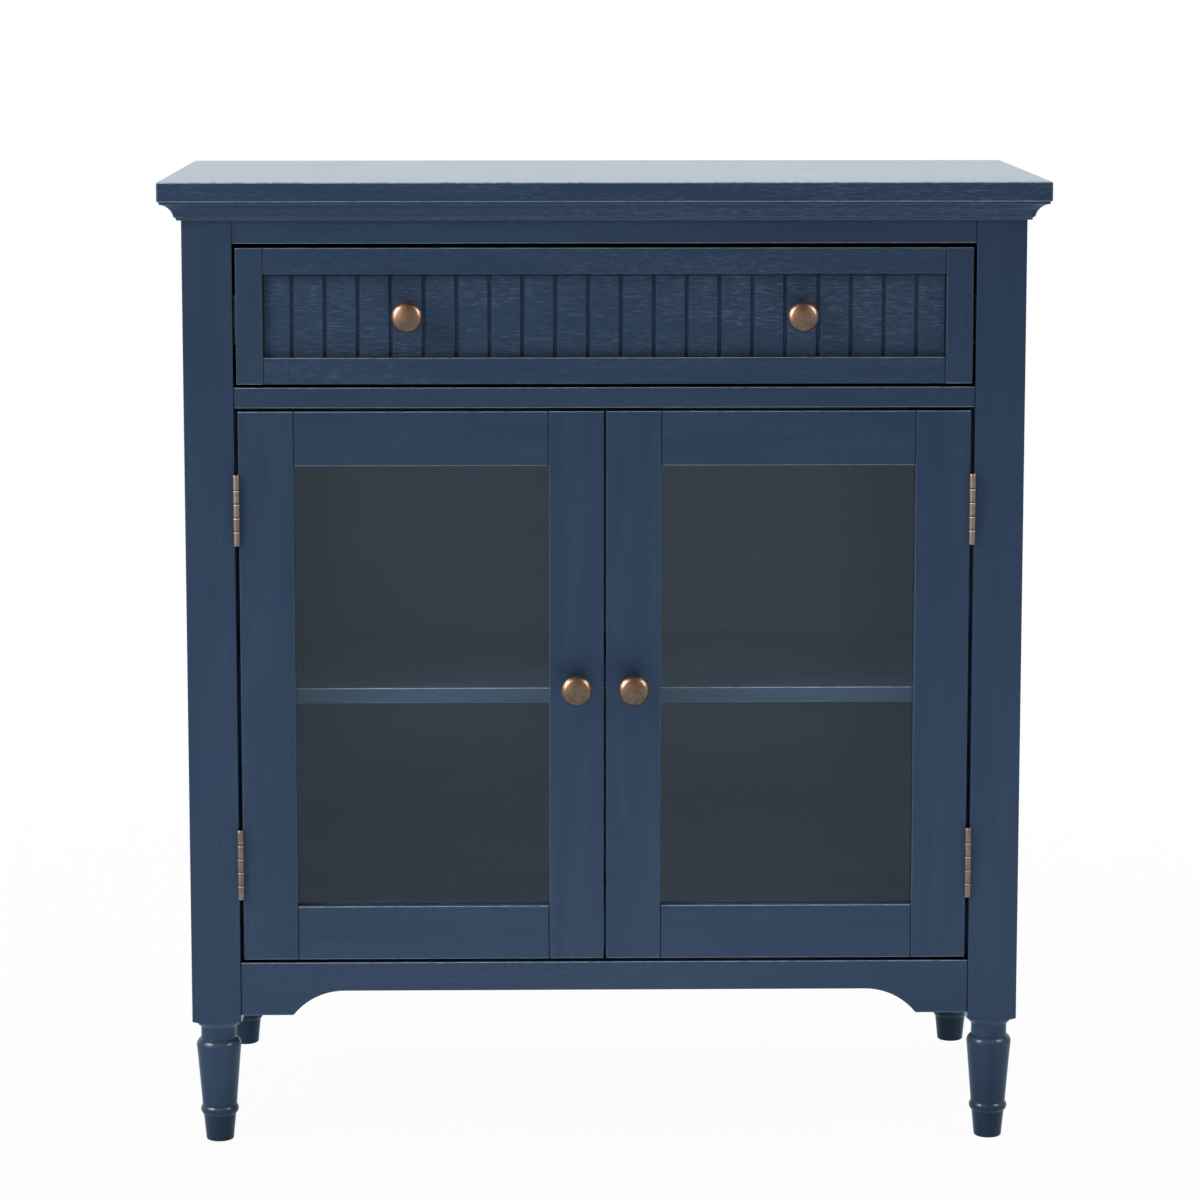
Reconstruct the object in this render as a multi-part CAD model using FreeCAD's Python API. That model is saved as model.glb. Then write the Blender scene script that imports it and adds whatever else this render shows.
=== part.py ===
import FreeCAD, Part
import math
import os

# Accent cabinet: one beadboard drawer over two glazed doors, on four posts with turned feet.
# Millimetres. +X is the right-hand side seen from the front, +Y the back, +Z up.
# The origin lies on the floor, under the middle of the overall box.

Vector = FreeCAD.Vector
ORIGIN = Vector(0, 0, 0)
RIGHT = Vector(1, 0, 0)
LEFT = Vector(-1, 0, 0)
BACK = Vector(0, 1, 0)
FRONT = Vector(0, -1, 0)
UP = Vector(0, 0, 1)
DOWN = Vector(0, 0, -1)

# Heights, stacked from the floor up
foot_height = 115.0
apron_rise = 8.0
apron_height = 49.5
door_opening_height = 513.0
middle_rail_height = 18.5
drawer_opening_height = 130.0
top_rail_height = 38.0
top_thickness = 18.0

# Plan of the top and the carcass
top_width = 800.0
top_depth = 400.0
top_overhang = 20.0
rear_overhang = 5.0
post_size = 45.0
rail_thickness = 20.0

# Edges, clearances and the overrun of cuts
edge_radius = 0.9
post_edge_radius = 0.9
top_edge_radius = 1.6
fit_gap = 0.1
running_gap = 0.05
overrun = 1.0
quarter_bulge_share = 1 - math.sqrt(0.5)

# Turned foot: radii, and heights from the floor or from the square part of the post
toe_radius = 12.8
toe_round = 1.5
ring_level = 24.5
ring_height = 8.5
ring_stand = 2.0
ring_low_radius = 15.1
ring_high_radius = 15.9
swell_radius = 20.4
swell_height = 8.5
swell_bulge = 1.7
neck_radius = 16.4
neck_height = 11.0
shoulder_radius = 21.0
shoulder_height = 5.5
shoulder_hollow = 0.6
pommel_drop = 1.5
pommel_rise = 3.5

# Cove moulding under the top
crown_height = 17.0
crown_projection = 18.0
crown_fillet = 2.2
crown_step = 1.2
crown_waist = 6.2
crown_waist_height = 3.2
crown_base = 4.0
crown_base_height = 1.8
crown_cove_depth = 2.4

# Arch of the apron
arch_foot = 48.0
arch_run = 47.0
arch_rise = 23.0

# Carcass panels and joints
side_panel_thickness = 12.0
side_panel_recess = 8.0
panel_groove_depth = 6.0
bottom_thickness = 15.0
divider_thickness = 12.0
back_thickness = 5.0
back_recess = 15.0
back_rabbet = 8.0
tenon_length = 12.0
tenon_thickness = 8.0
tenon_shoulder = 4.0

# Loose shelf on four pins
shelf_thickness = 14.0
shelf_height = 248.0
shelf_gap = 0.8
pin_radius = 2.5
pin_reach = 8.0
pin_hole_depth = 8.0
pin_inset = 45.0
pin_pitch = 32.0
pin_steps = (-2, -1, 0, 1, 2)

# Gaps round the drawer and the doors, and the thickness of their frames
front_thickness = 20.0
drawer_side_gap = 2.8
door_side_gap = 3.6
drawer_gap_top = 4.0
drawer_gap_bottom = 3.0
door_gap = 3.25
meeting_gap = 2.4

# Drawer front: framed beadboard panel
drawer_stile = 24.2
drawer_rail = 24.0
drawer_tenon_length = 14.0
drawer_tenon_thickness = 6.0
drawer_tenon_shoulder = 5.0
panel_recess = 6.0
tongue_thickness = 6.0
tongue_setback = 4.0
tongue_reach = 6.0
bead_pitch = 29.65
bead_groove_width = 3.3
bead_groove_depth = 2.4
bead_groove_floor_share = 0.35
knob_beads = 6

# Drawer box
box_rise = 10.0
box_height = 90.0
box_wall = 12.0
box_rear_gap = 5.0
box_bottom_thickness = 4.0
box_bottom_rise = 8.0
box_groove_depth = 6.0

# Telescopic drawer slides
slide_width = 12.7
slide_height = 45.0
slide_sheet = 1.2
slide_lip = 2.2
slide_depth = 9.6
slide_play = 0.3
slide_head_space = 1.8
slide_front_gap = 14.0
slide_rear_gap = 3.0
slide_screw_shares = (0.2, 0.8)

# Doors
door_stile = 49.5
door_rail = 49.5
door_tenon_length = 25.0
door_tenon_thickness = 6.0
door_tenon_shoulder = 6.0
glass_setback = 8.0
glass_thickness = 3.0
glass_gap = 1.0
glass_rabbet = 8.0

# Butt hinges
hinge_length = 63.0
hinge_inset = 58.0
knuckle_count = 5
knuckle_gap = 0.8
barrel_radius = 3.0
barrel_stand = 0.2
hinge_pin_radius = 1.4
hinge_pin_head_radius = 2.9
hinge_pin_head_height = 1.3
hinge_pin_head_round = 0.6
leaf_thickness = 1.1
leaf_reach = 17.0
hinge_screw_inset = 13.0

# Knobs
knob_projection = 26.0
knob_radius = 14.0
knob_rim_round = 5.8
knob_rim_level = 18.6
knob_base_radius = 8.5
knob_base_height = 2.0
knob_base_hollow = 0.8
knob_neck_radius = 5.5
knob_neck_level = 8.0
knob_flare_hollow = 1.0
knob_thread_depth = 12.0

# Screws
wood_screw_radius = 1.4
wood_screw_head_radius = 2.7
wood_screw_head_height = 1.1
wood_screw_length = 14.0
slide_screw_radius = 1.75
slide_screw_head_radius = 3.4
slide_screw_head_height = 1.4
slide_screw_length = 10.0
machine_screw_radius = 2.0
machine_screw_head_radius = 4.0
machine_screw_head_height = 2.4
machine_screw_hole_gap = 0.3
front_screw_length = 20.0
front_screw_inset = 60.0
front_screw_edge = 20.0

# Magnetic catches and their strike plates
catch_width = 40.0
catch_height = 13.0
catch_depth = 16.0
catch_edge_radius = 1.2
catch_gap = 0.3
pole_thickness = 1.6
pole_spread = 24.0
pole_height = 9.0
pole_stand = 0.2
strike_width = 34.0
strike_height = 10.0
strike_thickness = 1.2
strike_drop = 2.0

# Levels
shoulder_level = foot_height - pommel_drop
neck_top = shoulder_level - shoulder_height
neck_level = neck_top - neck_height
swell_level = neck_level - swell_height
apron_bottom = foot_height + apron_rise
apron_top = apron_bottom + apron_height
middle_rail_bottom = apron_top + door_opening_height
middle_rail_top = middle_rail_bottom + middle_rail_height
top_rail_bottom = middle_rail_top + drawer_opening_height
top_under = top_rail_bottom + top_rail_height
top_surface = top_under + top_thickness
bottom_under = apron_top - bottom_thickness
shelf_top = apron_top + shelf_height
shelf_bottom = shelf_top - shelf_thickness
door_bottom = apron_top + door_gap
door_top = middle_rail_bottom - door_gap
door_middle = (door_bottom + door_top) / 2
drawer_bottom = middle_rail_top + drawer_gap_bottom
drawer_top = top_rail_bottom - drawer_gap_top
drawer_middle = (drawer_bottom + drawer_top) / 2
box_bottom = drawer_bottom + box_rise
box_top = box_bottom + box_height
slide_level = (box_bottom + box_top) / 2

# Planes across and along the cabinet
body_depth = top_depth - top_overhang - rear_overhang
overall_depth = knob_projection + body_depth + rear_overhang
top_rear = overall_depth / 2
top_front = top_rear - top_depth
body_rear = top_rear - rear_overhang
face = body_rear - body_depth
front_post_rear = face + post_size
rear_post_front = body_rear - post_size
back_panel_rear = body_rear - back_recess
back_panel_front = back_panel_rear - back_thickness
rail_rear = face + rail_thickness
front_rear = face + front_thickness
half_body = top_width / 2 - top_overhang
half_opening = half_body - post_size
side_outer = half_body - side_panel_recess
side_inner = side_outer - side_panel_thickness
drawer_edge = half_opening - drawer_side_gap
door_edge = half_opening - door_side_gap
shelf_front = front_post_rear + shelf_gap
box_outer = half_opening - slide_width
box_inner = box_outer - box_wall
box_rear = back_panel_front - box_rear_gap
slide_front = front_rear + slide_front_gap
slide_rear = back_panel_front - slide_rear_gap
slide_length = slide_rear - slide_front
drawer_panel_half = drawer_edge - drawer_stile
drawer_panel_bottom = drawer_bottom + drawer_rail
drawer_panel_top = drawer_top - drawer_rail
drawer_panel_face = face + panel_recess
pane_near = meeting_gap / 2 + door_stile
pane_far = door_edge - door_stile
pane_bottom = door_bottom + door_rail
pane_top = door_top - door_rail
door_knob_x = meeting_gap / 2 + door_stile / 2
drawer_knob_x = knob_beads * bead_pitch
hinge_x = half_opening - door_side_gap / 2
hinge_y = face - barrel_radius - barrel_stand
hinge_levels = (door_bottom + hinge_inset, door_top - hinge_inset - hinge_length)
catch_front = front_rear + strike_thickness + catch_gap


def block(x0, x1, y0, y1, z0, z1):
    """A plain box between two planes on each axis."""
    return Part.makeBox(x1 - x0, y1 - y0, z1 - z0, Vector(x0, y0, z0))


def board(x0, x1, y0, y1, z0, z1, radius=edge_radius):
    """A board with all its edges eased."""
    plain = block(x0, x1, y0, y1, z0, z1)
    return plain.makeFillet(radius, plain.Edges)


def rod(start, direction, length, radius):
    """A round bar from a point along a direction."""
    return Part.makeCylinder(radius, length, start, direction)


def mirrored(shape):
    """The same shape on the other side of the cabinet."""
    return shape.mirror(ORIGIN, RIGHT)


def both_sides(shapes):
    """The right-hand shapes and their left-hand mirror images as one group."""
    return Part.makeCompound(shapes + [mirrored(shape) for shape in shapes])


class Outline:
    """A closed outline of lines and arcs, drawn point by point in a plane of two directions."""

    def __init__(self, across, along, start):
        self.across = across
        self.along = along
        self.first = start
        self.last = start
        self.edges = []

    def place(self, point):
        """A point of the outline in space."""
        return self.across * point[0] + self.along * point[1]

    def line(self, a, b):
        """A straight edge to the point a, b."""
        self.edges.append(Part.LineSegment(self.place(self.last), self.place((a, b))).toShape())
        self.last = (a, b)

    def bend(self, middle, end):
        """An arc through a middle point to an end point."""
        places = [self.place(point) for point in (self.last, middle, end)]
        self.edges.append(Part.Arc(*places).toShape())
        self.last = end

    def arc(self, a, b, bulge):
        """An arc to the point a, b that stands off its chord to the right of the way it runs."""
        run_a = a - self.last[0]
        run_b = b - self.last[1]
        chord = math.hypot(run_a, run_b)
        middle = (self.last[0] + run_a / 2 + bulge * run_b / chord,
                  self.last[1] + run_b / 2 - bulge * run_a / chord)
        self.bend(middle, (a, b))

    def round(self, a, b, centre):
        """An arc of under a half circle to the point a, b about a centre."""
        radius = math.hypot(a - centre[0], b - centre[1])
        aim_a = self.last[0] + a - 2 * centre[0]
        aim_b = self.last[1] + b - 2 * centre[1]
        aim = math.hypot(aim_a, aim_b)
        middle = (centre[0] + radius * aim_a / aim, centre[1] + radius * aim_b / aim)
        self.bend(middle, (a, b))

    def face(self):
        """The outline, closed and filled."""
        self.line(*self.first)
        return Part.Face(Part.Wire(self.edges))

    def turned(self):
        """The solid that the outline, as radius against height, sweeps about the Z axis."""
        return self.face().revolve(ORIGIN, UP, 360)


def polygon(across, along, points):
    """A filled outline of straight edges."""
    outline = Outline(across, along, points[0])
    for point in points[1:]:
        outline.line(*point)
    return outline.face()


def wood_screw(start, direction, slack=0):
    """A countersunk screw from the middle of its head, or with slack the hole that takes it."""
    head = Part.makeCone(wood_screw_head_radius + slack, wood_screw_radius + slack,
                         wood_screw_head_height, start, direction)
    return head.fuse(rod(start, direction, wood_screw_length + slack, wood_screw_radius + slack))


def headed_screw(start, direction, length, radius, head_radius, head_height):
    """A screw whose head stands on the surface that its shank enters at start."""
    shank = rod(start, direction, length, radius)
    head = rod(start - direction * head_height, direction, head_height, head_radius)
    return head.fuse(shank).removeSplitter()


# Carcass

def rail_tenon(y_middle, z0, z1, slack=0):
    """The right-hand tenon of a rail between posts, or with slack its mortise."""
    half = tenon_thickness / 2 + slack
    return block(half_opening - overrun, half_opening + tenon_length + slack,
                 y_middle - half, y_middle + half,
                 z0 + tenon_shoulder - slack, z1 - tenon_shoulder + slack)


def rail(y0, z0, z1):
    """A rail between two posts, tenoned at both ends."""
    tenon = rail_tenon(y0 + rail_thickness / 2, z0, z1)
    bar = board(-half_opening, half_opening, y0, y0 + rail_thickness, z0, z1)
    return bar.fuse([tenon, mirrored(tenon)]).removeSplitter()


def foot_outline():
    """Radius against height of a post on the lathe, with its square part left untouched."""
    corner = post_size * math.sqrt(0.5)
    outline = Outline(RIGHT, UP, (0, 0))
    outline.line(toe_radius - toe_round, 0)
    outline.arc(toe_radius, toe_round, toe_round * quarter_bulge_share)
    outline.line(ring_low_radius, ring_level)
    outline.arc(ring_high_radius, ring_level + ring_height, ring_stand)
    outline.line(swell_radius, swell_level)
    outline.arc(neck_radius, neck_level, swell_bulge)
    outline.line(neck_radius, neck_top)
    outline.arc(shoulder_radius, shoulder_level, shoulder_hollow)
    outline.line(corner, shoulder_level + pommel_rise)
    outline.line(corner, top_under)
    outline.line(0, top_under)
    return outline


def post(y0):
    """A right-hand post, square above and turned into a foot below, before its joints are cut."""
    stock = block(half_opening, half_body, y0, y0 + post_size, 0, top_under)
    long_edges = [edge for edge in stock.Edges if edge.BoundBox.ZLength > post_size]
    stock = stock.makeFillet(post_edge_radius, long_edges)
    lathe_axis = Vector(half_body - post_size / 2, y0 + post_size / 2, 0)
    return stock.common(foot_outline().turned().translated(lathe_axis))


def slide_screw_places():
    """Where the slides are screwed to the front and rear posts, along the depth."""
    return ((slide_front + front_post_rear) / 2, (rear_post_front + slide_rear) / 2)


def slide_screw(y, slack=0):
    """A right-hand screw of a slide's cabinet member, or with slack its hole in the post."""
    start = Vector(half_opening - slide_sheet, y, slide_level)
    length = slide_screw_length + slack
    if slack:
        return rod(start, RIGHT, length, slide_screw_radius + slack)
    return headed_screw(start, RIGHT, length, slide_screw_radius,
                        slide_screw_head_radius, slide_screw_head_height)


def panel_groove(y0, y1):
    """The groove of a post that takes the edge of a side panel."""
    return block(side_inner - fit_gap, side_outer + fit_gap, y0, y1, apron_bottom - fit_gap,
                 top_under + overrun)


def front_post():
    """The right-hand front post with its mortises, groove and screw holes."""
    rail_middle = face + rail_thickness / 2
    cuts = [rail_tenon(rail_middle, apron_bottom, apron_top, fit_gap),
            rail_tenon(rail_middle, middle_rail_bottom, middle_rail_top, fit_gap),
            rail_tenon(rail_middle, top_rail_bottom, top_under, fit_gap),
            panel_groove(front_post_rear - panel_groove_depth, front_post_rear + overrun),
            slide_screw(slide_screw_places()[0], fit_gap)]
    cuts += [wood_screw(start, RIGHT, fit_gap) for start in post_leaf_screws()]
    return post(face).cut(cuts)


def rear_post():
    """The right-hand rear post with its mortise, groove, back rabbet and screw hole."""
    cuts = [rail_tenon(back_panel_front - rail_thickness / 2, apron_bottom, bottom_under, fit_gap),
            panel_groove(rear_post_front - overrun, rear_post_front + panel_groove_depth),
            block(half_opening - overrun, half_opening + back_rabbet + fit_gap, back_panel_front,
                  body_rear + overrun, bottom_under - fit_gap, top_under + overrun),
            slide_screw(slide_screw_places()[1], fit_gap)]
    return post(rear_post_front).cut(cuts)


def front_apron():
    """The apron: a rail with an arch cut out of its lower edge."""
    arch_radius = (arch_run ** 2 + arch_rise ** 2) / (2 * arch_rise)
    half_chord = math.hypot(arch_run, arch_rise) / 2
    bulge = arch_radius - math.sqrt(arch_radius ** 2 - half_chord ** 2)
    springing = half_opening - arch_foot
    arch_top = apron_bottom + arch_rise
    arch = Outline(RIGHT, UP, (springing, apron_bottom))
    arch.arc(springing - arch_run, arch_top, bulge)
    arch.line(arch_run - springing, arch_top)
    arch.arc(-springing, apron_bottom, bulge)
    arch.line(-springing, apron_bottom - overrun)
    arch.line(springing, apron_bottom - overrun)
    opening = arch.face().extrude(BACK * (rail_thickness + 2 * overrun))
    return rail(face, apron_bottom, apron_top).cut(opening.translated(Vector(0, face - overrun, 0)))


def crown_section(out):
    """The moulding's section, standing off a face in the direction out."""
    crown_bottom = top_under - crown_height
    section = Outline(out, UP, (0, crown_bottom))
    section.line(crown_base, crown_bottom)
    section.line(crown_base, crown_bottom + crown_base_height)
    section.line(crown_waist, crown_bottom + crown_waist_height)
    section.arc(crown_projection - crown_step, top_under - crown_fillet, -crown_cove_depth)
    section.line(crown_projection, top_under - crown_fillet)
    section.line(crown_projection, top_under)
    section.line(0, top_under)
    return section.face()


def mitred(length_of_moulding, corners):
    """A length of moulding trimmed to a plan with mitred corners."""
    plan = polygon(RIGHT, BACK, corners).extrude(UP * top_surface)
    return length_of_moulding.common(plan)


def crown_front():
    """The moulding along the front, mitred at both ends."""
    reach = crown_projection + overrun
    length = crown_section(FRONT).translated(Vector(-half_body - reach, face, 0))
    length = length.extrude(RIGHT * (2 * (half_body + reach)))
    return mitred(length, [(-half_body, face), (-half_body - reach, face - reach),
                           (half_body + reach, face - reach), (half_body, face)])


def crown_side():
    """The moulding along the right-hand side, mitred at its front end."""
    reach = crown_projection + overrun
    length = crown_section(RIGHT).translated(Vector(half_body, face - reach, 0))
    length = length.extrude(BACK * (body_rear - face + reach))
    return mitred(length, [(half_body, face), (half_body + reach, face - reach),
                           (half_body + reach, body_rear), (half_body, body_rear)])


def shelf_pin_rows():
    """Where the two rows of shelf pins stand, along the depth."""
    return (shelf_front + pin_inset, rear_post_front - pin_inset)


def side_panel():
    """The right-hand side panel, grooved into the posts and drilled for the shelf pins."""
    panel = board(side_inner, side_outer, front_post_rear - panel_groove_depth + fit_gap,
                  rear_post_front + panel_groove_depth - fit_gap, apron_bottom, top_under)
    holes = []
    for row in shelf_pin_rows():
        for step in pin_steps:
            start = Vector(side_inner - overrun, row, shelf_bottom - pin_radius + step * pin_pitch)
            holes.append(rod(start, RIGHT, overrun + pin_hole_depth, pin_radius + fit_gap))
    return panel.cut(holes)


def shelf_pin(row):
    """A right-hand pin that carries the shelf."""
    pin = rod(Vector(side_inner - pin_reach, row, shelf_bottom - pin_radius), RIGHT,
              pin_reach + pin_hole_depth - fit_gap, pin_radius)
    return pin.makeFillet(edge_radius, pin.Edges)


def post_notches(gap):
    """The corners that a carcass panel leaves free for the four posts."""
    front = block(half_opening - gap, half_body, face, front_post_rear + gap, 0, top_surface)
    rear = block(half_opening - gap, half_body, rear_post_front - gap, body_rear, 0, top_surface)
    return [front, rear, mirrored(front), mirrored(rear)]


def carcass_panel(z0, z1):
    """A fixed panel between the side panels, from the rail in front to the back panel."""
    panel = block(-side_inner, side_inner, rail_rear, back_panel_front, z0, z1)
    return panel.cut(post_notches(0))


def shelf():
    """The loose shelf, notched round the rear posts."""
    plank = board(shelf_gap - side_inner, side_inner - shelf_gap, shelf_front,
                  back_panel_front - shelf_gap, shelf_bottom, shelf_top)
    return plank.cut(post_notches(shelf_gap))


def back_panel():
    """The thin back panel in the rabbets of the rear posts."""
    return block(-half_opening - back_rabbet, half_opening + back_rabbet, back_panel_front,
                 back_panel_rear, bottom_under, top_under)


def magnetic_catch():
    """The right-hand catch under the divider, with its two poles facing the door."""
    z0 = middle_rail_bottom - catch_height
    case = board(door_knob_x - catch_width / 2, door_knob_x + catch_width / 2, catch_front + pole_stand,
                 catch_front + catch_depth, z0, middle_rail_bottom, catch_edge_radius)
    pole_bottom = z0 + (catch_height - pole_height) / 2
    poles = [block(x - pole_thickness / 2, x + pole_thickness / 2, catch_front,
                   catch_front + catch_depth / 2, pole_bottom, pole_bottom + pole_height)
             for x in (door_knob_x - pole_spread / 2, door_knob_x + pole_spread / 2)]
    return case.fuse(poles)


# Butt hinges

def leaf_screw_levels():
    """The heights of the screws of both hinges on one side."""
    return [level for bottom in hinge_levels
            for level in (bottom + hinge_screw_inset, bottom + hinge_length - hinge_screw_inset)]


def leaf_screw_y():
    """The screws' place across the leaves, in the middle of what lies between door and post."""
    return face + leaf_reach / 2


def post_leaf_screws():
    """The heads of the right-hand hinges' screws into the post."""
    return [Vector(half_opening - leaf_thickness, leaf_screw_y(), level) for level in leaf_screw_levels()]


def door_leaf_screws():
    """The heads of the right-hand hinges' screws into the door."""
    return [Vector(door_edge + leaf_thickness, leaf_screw_y(), level) for level in leaf_screw_levels()]


def hinge_leaf(bottom, x0, knuckles):
    """A leaf and its knuckles, bored for the pin."""
    x1 = x0 + leaf_thickness
    plate_front = hinge_y + barrel_radius + barrel_stand
    leaf = block(x0, x1, plate_front, face + leaf_reach, bottom, bottom + hinge_length)
    pitch = hinge_length / knuckle_count
    for index in knuckles:
        z0 = bottom + index * pitch + knuckle_gap / 2
        z1 = z0 + pitch - knuckle_gap
        leaf = leaf.fuse([block(x0, x1, hinge_y, plate_front, z0, z1),
                          rod(Vector(hinge_x, hinge_y, z0), UP, z1 - z0, barrel_radius)])
    bore = rod(Vector(hinge_x, hinge_y, bottom - overrun), UP, hinge_length + 2 * overrun,
               hinge_pin_radius + running_gap)
    return leaf.cut(bore).removeSplitter()


def post_leaves():
    """The right-hand hinges' leaves on the post, with the outer and middle knuckles."""
    holes = [wood_screw(start, RIGHT, fit_gap) for start in post_leaf_screws()]
    return [hinge_leaf(bottom, half_opening - leaf_thickness, range(0, knuckle_count, 2)).cut(holes)
            for bottom in hinge_levels]


def door_leaves():
    """The right-hand hinges' leaves on the door, with the knuckles between."""
    holes = [wood_screw(start, LEFT, fit_gap) for start in door_leaf_screws()]
    return [hinge_leaf(bottom, door_edge, range(1, knuckle_count, 2)).cut(holes)
            for bottom in hinge_levels]


def hinge_pins():
    """The right-hand hinges' pins, with a rounded head at each end of the barrel."""
    pins = []
    for bottom in hinge_levels:
        heads = []
        for level, outward in ((bottom + knuckle_gap / 2, DOWN), (bottom + hinge_length - knuckle_gap / 2, UP)):
            head = rod(Vector(hinge_x, hinge_y, level), outward, hinge_pin_head_height, hinge_pin_head_radius)
            rim = max(head.Edges, key=lambda edge: edge.BoundBox.Center.z * outward.z)
            heads.append(head.makeFillet(hinge_pin_head_round, [rim]))
        shank = rod(Vector(hinge_x, hinge_y, bottom), UP, hinge_length, hinge_pin_radius)
        pins.append(shank.fuse(heads).removeSplitter())
    return pins


# Knobs and what holds them

def knob_outline():
    """Radius against height of a knob: base, neck, and a domed head with a round rim."""
    rim_centre = (knob_radius - knob_rim_round, knob_rim_level)
    crown_rise = knob_projection - knob_rim_level
    crown_radius = ((rim_centre[0] ** 2 + crown_rise ** 2 - knob_rim_round ** 2)
                    / (2 * (crown_rise - knob_rim_round)))
    crown_centre = (0, knob_projection - crown_radius)
    spread = crown_radius / (crown_radius - knob_rim_round)
    outline = Outline(RIGHT, UP, (0, 0))
    outline.line(knob_base_radius, 0)
    outline.line(knob_base_radius, knob_base_height)
    outline.arc(knob_neck_radius, knob_neck_level, -knob_base_hollow)
    outline.arc(rim_centre[0], knob_rim_level - knob_rim_round, -knob_flare_hollow)
    outline.round(spread * rim_centre[0], crown_centre[1] + spread * (rim_centre[1] - crown_centre[1]),
                  rim_centre)
    outline.round(0, knob_projection, crown_centre)
    return outline


def knob(x, y, z):
    """A mushroom knob on a face at y, pointing to the front, tapped for its screw."""
    thread = rod(ORIGIN, UP, knob_thread_depth, machine_screw_radius + running_gap)
    shape = knob_outline().turned().cut(thread)
    shape.rotate(ORIGIN, RIGHT, 90)
    return shape.translated(Vector(x, y, z))


def knob_screw(x, knob_face, rear, z):
    """The machine screw that holds a knob from behind."""
    length = rear - knob_face + knob_thread_depth - fit_gap
    return headed_screw(Vector(x, rear, z), FRONT, length, machine_screw_radius,
                        machine_screw_head_radius, machine_screw_head_height)


def knob_hole(x, z):
    """The hole for a knob's screw through anything behind the face."""
    return rod(Vector(x, face - overrun, z), BACK, body_depth, machine_screw_radius + machine_screw_hole_gap)


# Framed fronts, shared by the drawer and the doors

def frame_tenon(x_shoulder, z0, z1, length, thickness, shoulder, slack=0):
    """The tenon of a frame's rail, to the right of its shoulder, or with slack its mortise."""
    middle = face + front_thickness / 2
    return block(x_shoulder - overrun, x_shoulder + length + slack,
                 middle - thickness / 2 - slack, middle + thickness / 2 + slack,
                 z0 + shoulder - slack, z1 - shoulder + slack)


def turned_about(shape, x):
    """The mirror image of a shape about the upright plane at x."""
    return shape.mirror(Vector(x, 0, 0), RIGHT)


# Drawer

def drawer_tenons(slack=0):
    """The right-hand tenons of the drawer front's two rails, or with slack their mortises."""
    return [frame_tenon(drawer_panel_half, z0, z1, drawer_tenon_length, drawer_tenon_thickness,
                        drawer_tenon_shoulder, slack)
            for z0, z1 in ((drawer_bottom, drawer_panel_bottom), (drawer_panel_top, drawer_top))]


def panel_tongue(slack=0):
    """The tongue round the beadboard panel, or with slack the groove that takes it."""
    reach = tongue_reach + slack
    y0 = drawer_panel_face + tongue_setback
    return block(-drawer_panel_half - reach, drawer_panel_half + reach, y0 - slack,
                 y0 + tongue_thickness + slack, drawer_panel_bottom - reach, drawer_panel_top + reach)


def drawer_stile_piece():
    """The right-hand stile of the drawer front."""
    stile = board(drawer_panel_half, drawer_edge, face, front_rear, drawer_bottom, drawer_top)
    return stile.cut(drawer_tenons(fit_gap) + [panel_tongue(fit_gap)])


def drawer_rail_piece(z0, z1, tenon):
    """A rail of the drawer front, tenoned into the stiles."""
    bar = board(-drawer_panel_half, drawer_panel_half, face, front_rear, z0, z1)
    return bar.fuse([tenon, mirrored(tenon)]).cut(panel_tongue(fit_gap)).removeSplitter()


def bead_grooves():
    """The upright grooves of the beadboard, evenly spaced about its middle."""
    count = int(2 * drawer_panel_half / bead_pitch)
    half_mouth = bead_groove_width / 2
    half_floor = half_mouth * bead_groove_floor_share
    section = polygon(RIGHT, BACK, [(-half_mouth, 0), (half_mouth, 0), (half_floor, bead_groove_depth),
                                    (-half_floor, bead_groove_depth)])
    groove = section.extrude(UP * (drawer_panel_top - drawer_panel_bottom))
    return [groove.translated(Vector((index - (count - 1) / 2) * bead_pitch, drawer_panel_face,
                                     drawer_panel_bottom)) for index in range(count)]


def front_screw_places():
    """The four screws from the drawer box into the drawer front, on its inner face."""
    inner = front_rear + box_wall
    x = box_inner - front_screw_inset
    return [Vector(side * x, inner, z) for side in (-1, 1)
            for z in (box_bottom + front_screw_edge, box_top - front_screw_edge)]


def front_screw_holes():
    """The pilot holes of those screws."""
    return [rod(place, FRONT, front_screw_length + fit_gap, slide_screw_radius + fit_gap)
            for place in front_screw_places()]


def drawer_knob_holes():
    """The holes for both knobs' screws."""
    return [knob_hole(side * drawer_knob_x, drawer_middle) for side in (-1, 1)]


def drawer_panel():
    """The beadboard panel, with a tongue all round."""
    panel = block(-drawer_panel_half, drawer_panel_half, drawer_panel_face, front_rear,
                  drawer_panel_bottom, drawer_panel_top).fuse(panel_tongue())
    return panel.cut(bead_grooves() + drawer_knob_holes() + front_screw_holes()).removeSplitter()


def box_bottom_panel(slack=0):
    """The drawer's bottom, or with slack the groove that takes it."""
    reach = box_groove_depth + slack - fit_gap
    z0 = box_bottom + box_bottom_rise
    return block(-box_inner - reach, box_inner + reach, front_rear + box_wall - reach,
                 box_rear - box_wall + reach, z0 - slack, z0 + box_bottom_thickness + slack)


def drawer_member_screws():
    """The right-hand screws of a slide's drawer member into the drawer's side."""
    places = [slide_front + share * slide_length for share in slide_screw_shares]
    return [headed_screw(Vector(box_outer + slide_sheet, y, slide_level), LEFT, slide_screw_length,
                         slide_screw_radius, slide_screw_head_radius, slide_screw_head_height)
            for y in places]


def drawer_member_holes():
    """The holes of those screws, through the slide and into the drawer's side."""
    places = [slide_front + share * slide_length for share in slide_screw_shares]
    return [rod(Vector(box_outer + slide_sheet, y, slide_level), LEFT, slide_screw_length + fit_gap,
                slide_screw_radius + fit_gap) for y in places]


def box_side():
    """The right-hand side of the drawer box."""
    side = board(box_inner, box_outer, front_rear, box_rear, box_bottom, box_top)
    return side.cut([box_bottom_panel(fit_gap)] + drawer_member_holes())


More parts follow.
